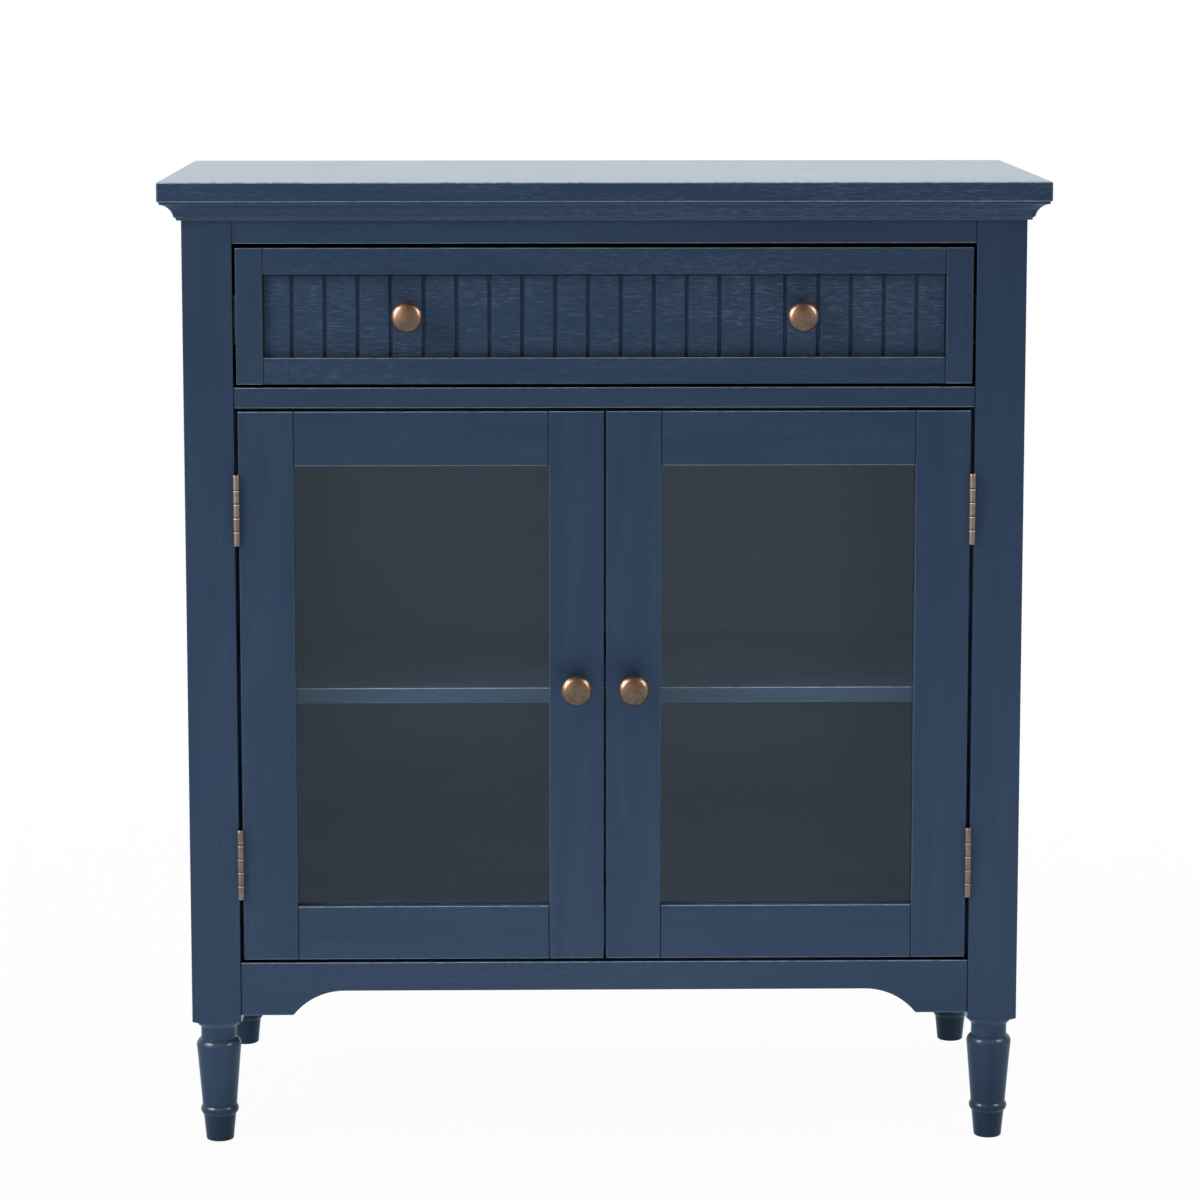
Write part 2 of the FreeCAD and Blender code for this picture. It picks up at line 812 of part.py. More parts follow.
def box_front():
    """The front of the drawer box, between the sides."""
    wall = board(-box_inner, box_inner, front_rear, front_rear + box_wall, box_bottom, box_top)
    return wall.cut([box_bottom_panel(fit_gap)] + drawer_knob_holes() + front_screw_holes())


def box_back():
    """The back of the drawer box, between the sides."""
    wall = board(-box_inner, box_inner, box_rear - box_wall, box_rear, box_bottom, box_top)
    return wall.cut(box_bottom_panel(fit_gap))


def drawer_screws():
    """All screws of the drawer: knobs, front and slides."""
    inner = front_rear + box_wall
    screws = [knob_screw(side * drawer_knob_x, drawer_panel_face, inner, drawer_middle) for side in (-1, 1)]
    screws += [headed_screw(place, FRONT, front_screw_length, slide_screw_radius,
                            slide_screw_head_radius, slide_screw_head_height)
               for place in front_screw_places()]
    members = drawer_member_screws()
    return Part.makeCompound(screws + members + [mirrored(screw) for screw in members])


# Slides. Sections run from the post towards the drawer, with heights from the slide's middle.

def slide_bar(points):
    """A right-hand slide member: its upper half section, mirrored below, drawn out along the slide."""
    lower = [(a, -b) for a, b in reversed(points)]
    bar = polygon(LEFT, UP, points + lower).extrude(BACK * slide_length)
    return bar.translated(Vector(half_opening, slide_front, slide_level))


def lipped_channel(near, far, half_height):
    """The upper half section of a channel with its web at near and its lips at far."""
    inside = half_height - slide_sheet
    return [(near, half_height), (far, half_height), (far, inside - slide_lip),
            (far - slide_sheet, inside - slide_lip), (far - slide_sheet, inside),
            (near + slide_sheet, inside)]


def slide_cabinet_member():
    """The channel screwed to the posts."""
    holes = [slide_screw(y, fit_gap) for y in slide_screw_places()]
    return slide_bar(lipped_channel(0, slide_depth, slide_height / 2)).cut(holes)


def slide_middle_half_height():
    """Half the height of the middle member, inside the cabinet member."""
    return slide_height / 2 - slide_sheet - slide_play


def slide_middle_member():
    """The channel that travels between cabinet and drawer."""
    near = slide_sheet + slide_head_space
    far = slide_depth - slide_sheet - slide_play
    return slide_bar(lipped_channel(near, far, slide_middle_half_height()))


def slide_drawer_member():
    """The channel screwed to the drawer, hooked behind the lips of the middle member."""
    hook = slide_middle_half_height() - slide_sheet - slide_play
    flange = hook - slide_lip
    hook_near = 2 * slide_sheet + slide_head_space + slide_play
    bar = slide_bar([(hook_near, flange - slide_sheet), (hook_near, hook), (hook_near + slide_sheet, hook),
                     (hook_near + slide_sheet, flange), (slide_width, flange)])
    hollow = slide_bar([(hook_near - overrun, flange - slide_sheet),
                        (slide_width - slide_sheet, flange - slide_sheet)])
    return bar.cut([hollow] + drawer_member_holes())


# Doors, drawn for the right-hand side

def door_tenons(x_shoulder, slack=0):
    """The tenons of a door's two rails to the right of a shoulder, clear of the glass rabbet."""
    return [frame_tenon(x_shoulder, z0, z1, door_tenon_length, door_tenon_thickness,
                        door_tenon_shoulder, slack)
            for z0, z1 in ((door_bottom, pane_bottom - glass_rabbet), (pane_top + glass_rabbet, door_top))]


def glass_pocket():
    """The rabbet behind the frame that takes the glass and its beads."""
    return block(pane_near - glass_rabbet, pane_far + glass_rabbet, face + glass_setback,
                 front_rear + overrun, pane_bottom - glass_rabbet, pane_top + glass_rabbet)


def near_tenons(slack=0):
    """The tenons that enter the meeting stile."""
    return [turned_about(tenon, pane_near) for tenon in door_tenons(pane_near, slack)]


def hinge_stile():
    """The stile that carries the hinges."""
    stile = board(pane_far, door_edge, face, front_rear, door_bottom, door_top)
    holes = [wood_screw(start, LEFT, fit_gap) for start in door_leaf_screws()]
    return stile.cut(door_tenons(pane_far, fit_gap) + [glass_pocket()] + holes)


def strike_hole():
    """The pilot hole of the strike plate's screw."""
    return wood_screw(strike_screw_place(), FRONT, fit_gap)


def meeting_stile():
    """The stile that carries the knob."""
    stile = board(meeting_gap / 2, pane_near, face, front_rear, door_bottom, door_top)
    cuts = near_tenons(fit_gap) + [glass_pocket(), knob_hole(door_knob_x, door_middle), strike_hole()]
    return stile.cut(cuts)


def door_rail_piece(z0, z1, index):
    """A rail of the door, tenoned into both stiles."""
    bar = board(pane_near, pane_far, face, front_rear, z0, z1)
    tenons = [door_tenons(pane_far)[index], near_tenons()[index]]
    return bar.fuse(tenons).cut([glass_pocket(), strike_hole()]).removeSplitter()


def door_glass():
    """The pane, in its rabbet."""
    reach = glass_rabbet - glass_gap
    return block(pane_near - reach, pane_far + reach, face + glass_setback,
                 face + glass_setback + glass_thickness, pane_bottom - reach, pane_top + reach)


def glazing_beads():
    """Four mitred beads that hold the pane from behind."""
    outer = [(pane_near - glass_rabbet, pane_bottom - glass_rabbet),
             (pane_far + glass_rabbet, pane_bottom - glass_rabbet),
             (pane_far + glass_rabbet, pane_top + glass_rabbet),
             (pane_near - glass_rabbet, pane_top + glass_rabbet)]
    inner = [(pane_near, pane_bottom), (pane_far, pane_bottom), (pane_far, pane_top), (pane_near, pane_top)]
    glass_rear = face + glass_setback + glass_thickness
    beads = []
    for index in range(len(outer)):
        after = (index + 1) % len(outer)
        plan = polygon(RIGHT, UP, [outer[index], outer[after], inner[after], inner[index]])
        bead = plan.extrude(BACK * (front_rear - glass_rear))
        beads.append(bead.translated(Vector(0, glass_rear, 0)))
    return beads


def strike_level():
    """The middle height of the strike plate, facing the catch."""
    return door_top - strike_drop - strike_height / 2


def strike_screw_place():
    """The head of the strike plate's screw, flush with the plate."""
    return Vector(door_knob_x, front_rear + strike_thickness, strike_level())


def strike_plate():
    """The plate on the back of the door that the catch holds."""
    z = strike_level()
    plate = block(door_knob_x - strike_width / 2, door_knob_x + strike_width / 2, front_rear,
                  front_rear + strike_thickness, z - strike_height / 2, z + strike_height / 2)
    return plate.cut(strike_hole())


def door_fixings():
    """The strike plate and all screws of a door."""
    screws = [wood_screw(start, LEFT) for start in door_leaf_screws()]
    screws.append(wood_screw(strike_screw_place(), FRONT))
    screws.append(knob_screw(door_knob_x, face, front_rear, door_middle))
    return Part.makeCompound(screws + [strike_plate()])


# Assembly: every piece under its name

pieces = {
    "top_panel": board(-top_width / 2, top_width / 2, top_front, top_rear, top_under, top_surface,
                       top_edge_radius),
    "crown_moulding_front": crown_front(),
    "top_rail": rail(face, top_rail_bottom, top_under),
    "middle_rail": rail(face, middle_rail_bottom, middle_rail_top),
    "front_apron": front_apron(),
    "rear_bottom_rail": rail(back_panel_front - rail_thickness, apron_bottom, bottom_under),
    "bottom_panel": carcass_panel(bottom_under, apron_top),
    "divider_panel": carcass_panel(middle_rail_bottom, middle_rail_bottom + divider_thickness),
    "back_panel": back_panel(),
    "shelf": shelf(),
    "shelf_pins": both_sides([shelf_pin(row) for row in shelf_pin_rows()]),
    "hinge_post_leaves": both_sides(post_leaves()),
    "hinge_pins": both_sides(hinge_pins()),
    "cabinet_screws": both_sides([wood_screw(start, RIGHT) for start in post_leaf_screws()]
                                 + [slide_screw(y) for y in slide_screw_places()]),
    "magnetic_catches": both_sides([magnetic_catch()]),
    "drawer_front_top_rail": drawer_rail_piece(drawer_panel_top, drawer_top, drawer_tenons()[1]),
    "drawer_front_bottom_rail": drawer_rail_piece(drawer_bottom, drawer_panel_bottom, drawer_tenons()[0]),
    "drawer_front_panel": drawer_panel(),
    "drawer_box_front": box_front(),
    "drawer_box_back": box_back(),
    "drawer_box_bottom": box_bottom_panel(),
    "drawer_screws": drawer_screws(),
}

handed = {
    "crown_moulding": crown_side(),
    "front_post": front_post(),
    "rear_post": rear_post(),
    "side_panel": side_panel(),
    "slide_cabinet_member": slide_cabinet_member(),
    "slide_middle_member": slide_middle_member(),
    "slide_drawer_member": slide_drawer_member(),
    "drawer_front_stile": drawer_stile_piece(),
    "drawer_box_side": box_side(),
    "drawer_knob": knob(drawer_knob_x, drawer_panel_face, drawer_middle),
    "door_hinge_stile": hinge_stile(),
    "door_meeting_stile": meeting_stile(),
    "door_top_rail": door_rail_piece(pane_top, door_top, 1),
    "door_bottom_rail": door_rail_piece(door_bottom, pane_bottom, 0),
    "door_glass": door_glass(),
    "door_glazing_beads": Part.makeCompound(glazing_beads()),
    "door_knob": knob(door_knob_x, face, door_middle),
    "door_hinge_leaves": Part.makeCompound(door_leaves()),
    "door_fixings": door_fixings(),
}

for name, shape in handed.items():
    pieces["right_" + name] = shape
    pieces["left_" + name] = mirrored(shape)

os.makedirs("parts", exist_ok=True)
for name, shape in pieces.items():
    shape.exportStep("parts/" + name + ".step")
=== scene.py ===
"""Dresses an accent cabinet: open-grain navy paint, a beadboard drawer, glazed doors and bronze hardware."""
import logging
import math
from dataclasses import dataclass, replace
from enum import Enum
from typing import Any, Optional, Sequence, Union

import bmesh
import bpy
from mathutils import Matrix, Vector


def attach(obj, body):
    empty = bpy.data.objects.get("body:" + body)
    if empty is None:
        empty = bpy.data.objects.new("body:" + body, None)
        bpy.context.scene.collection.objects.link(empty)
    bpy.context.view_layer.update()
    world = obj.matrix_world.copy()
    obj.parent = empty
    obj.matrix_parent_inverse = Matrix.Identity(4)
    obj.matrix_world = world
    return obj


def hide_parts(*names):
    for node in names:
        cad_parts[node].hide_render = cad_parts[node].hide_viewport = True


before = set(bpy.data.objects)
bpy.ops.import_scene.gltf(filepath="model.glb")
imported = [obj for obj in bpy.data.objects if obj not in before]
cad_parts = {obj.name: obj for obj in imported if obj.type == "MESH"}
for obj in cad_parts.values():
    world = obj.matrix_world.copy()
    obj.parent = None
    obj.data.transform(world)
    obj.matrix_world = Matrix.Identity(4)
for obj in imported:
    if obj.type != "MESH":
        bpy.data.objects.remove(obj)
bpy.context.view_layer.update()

LOG = logging.getLogger("cabinet")
MM = 0.001
WHITE = (1.0, 1.0, 1.0)
REARWARD = Vector((0.0, 1.0, 0.0))

Colour = tuple[float, float, float]
Point = tuple[float, float, float]
Span = tuple[float, ...]
Seat = tuple[Vector, Vector]
Mesh = bpy.types.Mesh
Material = bpy.types.Material
Tree = bpy.types.NodeTree
Socket = bpy.types.NodeSocket
Outputs = bpy.types.NodeOutputs
Feed = Union[float, int, bool, str, Sequence[float], Socket, bpy.types.ID]
Feeds = dict[Union[str, int], Feed]

FLOAT = "NodeSocketFloat"
INTEGER = "NodeSocketInt"
VECTOR = "NodeSocketVector"
GEOMETRY = "NodeSocketGeometry"


class GrainWay(Enum):
    """Which way a board's grain runs, as the turn that lays it along local X."""

    ACROSS = (0.0, 0.0, 0.0)
    DEEP = (0.0, 0.0, -math.pi / 2)
    UPRIGHT = (0.0, math.pi / 2, 0.0)


class Side(Enum):
    """The two hands of the cabinet, as the sign of X."""

    LEFT = -1
    RIGHT = 1

    def named(self, piece: str) -> str:
        """Give the name that a piece has on this hand."""
        return f"{self.name.lower()}_{piece}"

    def point(self, across: float, depth: float, level: float) -> Vector:
        """Give a point on this hand, with its distance from the middle plane first."""
        return Vector((self.value * across, depth, level))

    @property
    def outward(self) -> Vector:
        """The way from the middle plane to this hand."""
        return Vector((self.value, 0.0, 0.0))

    @property
    def inward(self) -> Vector:
        """The way from this hand to the middle plane."""
        return Vector((-self.value, 0.0, 0.0))


class HeadStyle(Enum):
    """How a screw's head sits: sunk flush with the surface, or standing on it."""

    SUNK = 1.0
    STANDING = 0.0


def both(*pieces: str) -> list[str]:
    """Give the left and the right name of handed pieces."""
    return [side.named(piece) for side in Side for piece in pieces]


def floats(*names: str) -> dict[str, str]:
    """Give number sockets these names."""
    return {name: FLOAT for name in names}


class NodeBench:
    """Adds nodes to one tree and wires them."""

    def __init__(self, tree: Tree) -> None:
        """Take the shader or geometry tree that gets the nodes."""
        self.tree = tree

    def feed(self, socket: Socket, value: Feed) -> None:
        """Link a socket, or set its plain value.

        Args:
            socket: The input to feed.
            value: Another node's output, or a constant.
        """
        if isinstance(value, Socket):
            self.tree.links.new(value, socket)
        elif socket.type == "RGBA" and len(value) == 3:
            socket.default_value = (*value, 1.0)
        else:
            socket.default_value = value

    def add(self, kind: str, inputs: Optional[Feeds] = None, **settings: Any) -> bpy.types.Node:
        """Add a node.

        Args:
            kind: The node's type name.
            inputs: What its inputs take, by name or place.
            **settings: Properties of the node itself.

        Returns:
            The new node.
        """
        node = self.tree.nodes.new(kind)
        for name, value in settings.items():
            setattr(node, name, value)
        for key, value in (inputs or {}).items():
            self.feed(node.inputs[key], value)
        return node

    def out(self, kind: str, inputs: Optional[Feeds] = None, output: Union[str, int] = 0,
            **settings: Any) -> Socket:
        """Add a node and give one of its outputs, by name or place."""
        return self.add(kind, inputs, **settings).outputs[output]

    def math(self, operation: str, *values: Feed, clamp: bool = False) -> Socket:
        """Do a sum on values, held between 0 and 1 where clamp is set."""
        return self.out("ShaderNodeMath", dict(enumerate(values)), operation=operation, use_clamp=clamp)

    def times(self, a: Feed, b: Feed) -> Socket:
        """Multiply two values."""
        return self.math("MULTIPLY", a, b)

    def vector(self, operation: str, *values: Feed, output: int = 0) -> Socket:
        """Do a sum on vectors, with output 0 for a vector and 1 for a value."""
        return self.out("ShaderNodeVectorMath", dict(enumerate(values)), output, operation=operation)

    def scaled(self, vector: Feed, factor: Feed) -> Socket:
        """Scale a vector."""
        return self.out("ShaderNodeVectorMath", {0: vector, "Scale": factor}, operation="SCALE")

    def combine(self, x: Feed = 0.0, y: Feed = 0.0, z: Feed = 0.0) -> Socket:
        """Make a vector of three values."""
        return self.out("ShaderNodeCombineXYZ", {0: x, 1: y, 2: z})

    def split(self, vector: Feed) -> Outputs:
        """Take a vector apart into three values."""
        return self.add("ShaderNodeSeparateXYZ", {0: vector}).outputs

    def span(self, value: Feed, low: Feed, high: Feed, to_low: Feed = 0.0, to_high: Feed = 1.0) -> Socket:
        """Map a value smoothly from one range to another, held at both ends."""
        return self.out("ShaderNodeMapRange", {0: value, 1: low, 2: high, 3: to_low, 4: to_high},
                        interpolation_type="SMOOTHSTEP")

    def noise(self, vector: Feed, scale: float, detail: float, roughness: float = 0.5,
              distortion: float = 0.0, output: int = 0) -> Socket:
        """Read a noise texture, with output 0 for a value of about 0 to 1 and 1 for a colour."""
        return self.out("ShaderNodeTexNoise", {"Vector": vector, "Scale": scale, "Detail": detail,
                                               "Roughness": roughness, "Distortion": distortion}, output)

    def mix(self, factor: Feed, a: Feed, b: Feed) -> Socket:
        """Mix two colours by how much of the second shows."""
        return self.out("ShaderNodeMix", {0: factor, 6: a, 7: b}, 2, data_type="RGBA")

    def cover(self, colour: Feed, tone: Feed, mask: Feed, show: Feed) -> Socket:
        """Lay a tone over a colour where a mask has it, as strongly as it may show."""
        return self.mix(self.times(mask, show), colour, tone)

    def group(self, tree: Tree, inputs: Feeds) -> Outputs:
        """Place a shared effect and give its outputs."""
        return self.add("ShaderNodeGroup", inputs, node_tree=tree).outputs

    def principled(self, inputs: Feeds) -> Socket:
        """Place the Principled shader."""
        return self.out("ShaderNodeBsdfPrincipled", inputs)

    def shaders(self, factor: Feed, a: Socket, b: Socket) -> Socket:
        """Mix two shaders by how much of the second shows."""
        return self.out("ShaderNodeMixShader", {0: factor, 1: a, 2: b})


class GroupBench(NodeBench):
    """A node group with named sockets, and the bench that fills it."""

    def __init__(self, name: str, kind: str, inputs: dict[str, str], outputs: dict[str, str]) -> None:
        """Start the group.

        Args:
            name: The group's name.
            kind: The type of tree.
            inputs: Socket types by input name.
            outputs: Socket types by output name.
        """
        super().__init__(bpy.data.node_groups.new(name, kind))
        for way, sockets in (("INPUT", inputs), ("OUTPUT", outputs)):
            for socket, socket_type in sockets.items():
                self.tree.interface.new_socket(socket, in_out=way, socket_type=socket_type)
        self.start = self.add("NodeGroupInput").outputs
        self.end = self.add("NodeGroupOutput").inputs

    def give(self, results: dict[str, Socket]) -> Tree:
        """Feed the group's outputs.

        Args:
            results: What each output gives, by name.

        Returns:
            The finished tree.
        """
        for name, result in results.items():
            self.feed(self.end[name], result)
        return self.tree


class SurfaceGroups:
    """The effects that several finishes share, each a shader node group built once."""

    FIGURE_BEND = 0.8
    DRIFT_SCALE = 0.6
    DRIFT_REACH = 1.6
    PORE_STREAKS: Span = (0.54, 0.68)
    GLINT_STREAKS: Span = (0.46, 0.36)
    OPEN_FIGURE: Span = (0.35, 0.62, 0.25, 1.0)
    FINE_SCALE = 2.7
    FIBRE_LIFT = 0.5
    FINE_LIFT = 0.3
    BEVEL_SAMPLES = 4
    EDGE_TURN: Span = (0.02, 0.22)
    EDGE_KEPT = 0.6
    RUB_SCALE = 160.0
    EASED_SLANT: Span = (0.995, 0.95)
    EASED_LEVEL: Span = (0.1, 0.5, 0.16, 1.0)
    EASED_ABOVE: Span = (-0.3, 0.3)
    EASED_PATCHES: Span = (0.3, 0.6, 0.5, 1.0)
    MOTTLE_PATCHES: Span = (0.36, 0.66)
    MOTTLE_SPECKS: Span = (0.55, 0.72)
    JOINT_FADE: Span = (0.4, 1.0, 1.0, 0.0)

    def __init__(self) -> None:
        """Build every group."""
        self.grain = self.open_grain()
        self.edges = self.edge_rub()
        self.patches = self.mottle()
        self.joints = self.joint_line()

    def open_grain(self) -> Tree:
        """Make the grain of open-pored wood, running along X.

        Returns:
            A group with the pores and the painted glints (light streaks standing in for lit raised fibres) as
            masks, the figure as a tone and the surface as a height.
        """
        group = GroupBench(
            "open_grain", "ShaderNodeTree",
            {"Vector": VECTOR, **floats("Pore Length", "Pore Width", "Figure Length", "Figure Width")},
            floats("Pores", "Painted Glints", "Tone", "Height"))

        def stretched(streak: str) -> Socket:
            """Give the place in units of a streak's length and width."""
            length, width = group.start[streak + " Length"], group.start[streak + " Width"]
            return group.vector("DIVIDE", group.start["Vector"], group.combine(length, width, width))

        figure_place = stretched("Figure")
        figure = group.noise(figure_place, 1.0, 2.0, distortion=self.FIGURE_BEND)
        drift = group.noise(figure_place, self.DRIFT_SCALE, 1.0, output=1)
        pore_place = group.vector("ADD", stretched("Pore"), group.scaled(drift, self.DRIFT_REACH))
        streaks = group.noise(pore_place, 1.0, 3.0, 0.62, 0.3)
        open_share = group.span(figure, *self.OPEN_FIGURE)
        pores = group.times(group.span(streaks, *self.PORE_STREAKS), open_share)
        # The glints are a painted highlight mask, laid lighter in the colour; they also lift the surface's
        # height.
        painted_glints = group.times(group.span(streaks, *self.GLINT_STREAKS), open_share)
        raised = group.math("MULTIPLY_ADD", painted_glints, self.FIBRE_LIFT, group.math("SUBTRACT", 1.0, pores))
        fine = group.noise(pore_place, self.FINE_SCALE, 2.0, 0.6)
        height = group.math("MULTIPLY_ADD", fine, self.FINE_LIFT, raised)
        return group.give({"Pores": pores, "Painted Glints": painted_glints, "Tone": figure, "Height": height})

    def edge_rub(self) -> Tree:
        """Make masks of the edges: one where a finish is rubbed or painted lighter, one of painted highlights
        on eased edges.

        Returns:
            A group with the edges as a mask, broken up along their length, a painted highlight on the eased
            edges of square boards, strongest where they face up, and the normal of an eased edge.
        """
        group = GroupBench("edge_rub", "ShaderNodeTree",
                           {"Vector": VECTOR, **floats("Radius", "Break Up", "Under")},
                           {**floats("Edge", "Eased"), "Rounded": VECTOR})
        rounded = group.out("ShaderNodeBevel", {"Radius": group.start["Radius"]}, samples=self.BEVEL_SAMPLES)
        flat = group.out("ShaderNodeNewGeometry", output="Normal")
        turn = group.math("SUBTRACT", 1.0, group.vector("DOT_PRODUCT", rounded, flat, output=1))
        patchy = group.noise(group.start["Vector"], self.RUB_SCALE, 3.0, 0.6)
        kept = group.math("MULTIPLY_ADD", group.math("SUBTRACT", patchy, 0.5), group.start["Break Up"],
                          self.EDGE_KEPT, clamp=True)
        own = group.out("ShaderNodeTexCoord", output="Normal")
        tilt = group.split(own)[2]
        plain = group.split(group.vector("ABSOLUTE", own))
        largest = group.math("MAXIMUM", group.math("MAXIMUM", plain[0], plain[1]), plain[2])
        above = group.span(tilt, *self.EASED_ABOVE)
        under = group.times(group.math("SUBTRACT", 1.0, above), group.start["Under"])
        lit = group.times(group.span(plain[2], *self.EASED_LEVEL), group.math("ADD", above, under))
        eased_highlight = group.times(group.span(largest, *self.EASED_SLANT), lit)
        return group.give({"Edge": group.times(group.span(turn, *self.EDGE_TURN), kept),
                           "Eased": group.times(eased_highlight, group.span(patchy, *self.EASED_PATCHES)),
                           "Rounded": rounded})

    def mottle(self) -> Tree:
        """Make the uneven patches of an aged or plated metal.

        Returns:
            A group with broad patches and fine specks as masks.
        """
        group = GroupBench("mottle", "ShaderNodeTree",
                           {"Vector": VECTOR, **floats("Patch Size", "Speck Size")},
                           floats("Patches", "Specks"))
        broad = group.vector("DIVIDE", group.start["Vector"], group.start["Patch Size"])
        fine = group.vector("DIVIDE", group.start["Vector"], group.start["Speck Size"])
        patches = group.span(group.noise(broad, 1.0, 4.0, 0.6, 0.7), *self.MOTTLE_PATCHES)
        specks = group.span(group.noise(fine, 1.0, 2.0), *self.MOTTLE_SPECKS)
        return group.give({"Patches": patches, "Specks": specks})

    def joint_line(self) -> Tree:
        """Make the thin line where two pieces meet, at one distance to either side of the origin.

        Returns:
            A group with the line as a mask.
        """
        group = GroupBench("joint_line", "ShaderNodeTree", floats("Place", "Distance", "Width"),
                           floats("Joint"))
        beyond = group.math("SUBTRACT", group.math("ABSOLUTE", group.start["Place"]), group.start["Distance"])
        share = group.math("DIVIDE", group.math("ABSOLUTE", beyond), group.start["Width"])
        return group.give({"Joint": group.span(share, *self.JOINT_FADE)})


GROUPS = SurfaceGroups()


@dataclass(frozen=True)
class Finish:
    """A surface finish, made into a material on first use."""

    name: str

    def material(self) -> Material:
        """Give the finish's material, made once.

        Returns:
            The material.
        """
        found = bpy.data.materials.get(self.name)
        if found:
            return found
        made = bpy.data.materials.new(self.name)
        made.use_nodes = True
        made.node_tree.nodes.clear()
        bench = NodeBench(made.node_tree)
        surface = self.shade(bench, bench.out("ShaderNodeTexCoord", output="Object"))
        bench.add("ShaderNodeOutputMaterial", {"Surface": surface})
        return made

    def shade(self, bench: NodeBench, place: Socket) -> Socket:
        """Lay the finish's nodes.

        Args:
            bench: The bench of the material's tree.
            place: Object coordinates.

        Returns:
            The shader's output.
        """
        raise NotImplementedError


@dataclass(frozen=True)
class EdgedFinish(Finish):
    """A finish that is rubbed on its eased edges, and in painted finishes painted lighter there as a
    highlight.
    """

    ease: float = 0.9 * MM
    break_up: float = 1.0
    bump_depth: float = 0.05 * MM
    bump_strength: float = 0.3

    def edges(self, bench: NodeBench, place: Socket, under: float = 0.0) -> Outputs:
        """Place the edges' masks and normal, with the share of the painted edge highlight that shows
        underneath.
        """
        return bench.group(GROUPS.edges, {"Vector": place, "Radius": self.ease, "Break Up": self.break_up,
                                          "Under": under})

    def line(self, bench: NodeBench, axis: Socket, distance: float, width: float) -> Socket:
        """Place the mask of a thin line at a distance along an axis."""
        return bench.group(GROUPS.joints, {"Place": axis, "Distance": distance, "Width": width})["Joint"]

    def relief(self, bench: NodeBench, height: Socket, edges: Outputs) -> Socket:
        """Turn the surface's height into a normal, on top of that of the eased edges."""
        return bench.out("ShaderNodeBump", {"Height": height, "Distance": self.bump_depth,
                                            "Strength": self.bump_strength, "Normal": edges["Rounded"]})


@dataclass(frozen=True)
class WoodFinish(EdgedFinish):
    """A finish that shows the grain of the wood under it."""

    way: GrainWay = GrainWay.ACROSS
    pore_length: float = 10 * MM
    pore_width: float = 1.3 * MM
    figure_length: float = 240 * MM
    figure_width: float = 26 * MM

    def grain(self, bench: NodeBench, place: Socket) -> Outputs:
        """Place the grain, turned the way that the board's grain runs.

        Args:
            bench: The bench of the material's tree.
            place: Object coordinates.

        Returns:
            The grain's masks, tone and height.
        """
        along = bench.out("ShaderNodeMapping", {"Vector": place, "Rotation": self.way.value})
        return bench.group(GROUPS.grain, {
            "Vector": along, "Pore Length": self.pore_length, "Pore Width": self.pore_width,
            "Figure Length": self.figure_length, "Figure Width": self.figure_width})


@dataclass(frozen=True)
class NavyPaint(WoodFinish):
    """Satin navy paint over open-grained wood."""

    break_up: float = 1.2
    body: Colour = (0.0198, 0.0428, 0.0905)
    light: Colour = (0.0238, 0.0487, 0.0990)
    pore: Colour = (0.0100, 0.0230, 0.0520)
    # Painted glints: light streaks along the grain, standing in for light on the grain.
    painted_glint: Colour = (0.0700, 0.1080, 0.1720)
    # Rubbed edges: partly wear of the paint, partly a painted highlight on the edges.
    rubbed_and_highlight: Colour = (0.0640, 0.0940, 0.1480)
    # Painted highlight on eased edges, lightest where they face up.
    painted_edge_highlight: Colour = (0.3600, 0.4400, 0.5400)
    # Dark joint lines: partly the joint itself, partly painted shade in it and under the drawer's top rail.
    dark_joint_and_shade: Colour = (0.0025, 0.0055, 0.0120)
    sheen: Colour = (0.8600, 0.9700, 1.0000)
    tones: Span = (0.3, 0.7)
    pore_show: float = 0.6
    painted_glint_show: float = 0.7
    rub: float = 0.6
    eased_show: float = 1.0
    under_show: float = 0.4
    joint_width: float = 1.5 * MM
    joints: tuple[float, ...] = ()
    shadow_lines: tuple[float, ...] = ()
    bump_depth: float = 0.35 * MM
    bump_strength: float = 0.7
    cloud_scale: float = 9.0
    clouds: Span = (0.3, 0.7, 0.36, 0.44)
    pore_dull: float = 0.14
    ior: float = 1.28
    coat: float = 0.9
    coat_roughness: float = 0.14

    def shade(self, bench: NodeBench, place: Socket) -> Socket:
        """Lay the paint: figure, pores and painted glints in the colour, rubbed edges and painted edge
        highlights, dark joints with painted shade, a satin sheen and a grained surface.

        Args:
            bench: The bench of the material's tree.
            place: Object coordinates.

        Returns:
            The shader's output.
        """
        grain = self.grain(bench, place)
        edge = self.edges(bench, place, self.under_show)
        colour = bench.mix(bench.span(grain["Tone"], *self.tones), self.body, self.light)
        # Glints and the eased-edge colour are painted highlights; the rubbed edge colour is part wear, part
        # painted highlight.
        for mask, show, tone in ((grain["Painted Glints"], self.painted_glint_show, self.painted_glint),
                                 (grain["Pores"], self.pore_show, self.pore),
                                 (edge["Edge"], self.rub, self.rubbed_and_highlight),
                                 (edge["Eased"], self.eased_show, self.painted_edge_highlight)):
            colour = bench.cover(colour, tone, mask, show)
        # Joint lines are dark lines where pieces meet, partly painted shade; the crease lines are painted
        # shadow under the rail above the panel.
        across, _, up = bench.split(place)
        for axis, distances in ((across, self.joints), (up, self.shadow_lines)):
            for distance in distances:
                line = self.line(bench, axis, distance, self.joint_width)
                colour = bench.mix(line, colour, self.dark_joint_and_shade)
        cloudy = bench.span(bench.noise(place, self.cloud_scale, 2.0), *self.clouds)
        return bench.principled({
            "Base Color": colour, "IOR": self.ior, "Specular Tint": self.sheen,
            "Roughness": bench.math("MULTIPLY_ADD", grain["Pores"], self.pore_dull, cloudy),
            "Coat Weight": self.coat, "Coat Roughness": self.coat_roughness, "Coat IOR": self.ior,
            "Normal": self.relief(bench, grain["Height"], edge)})


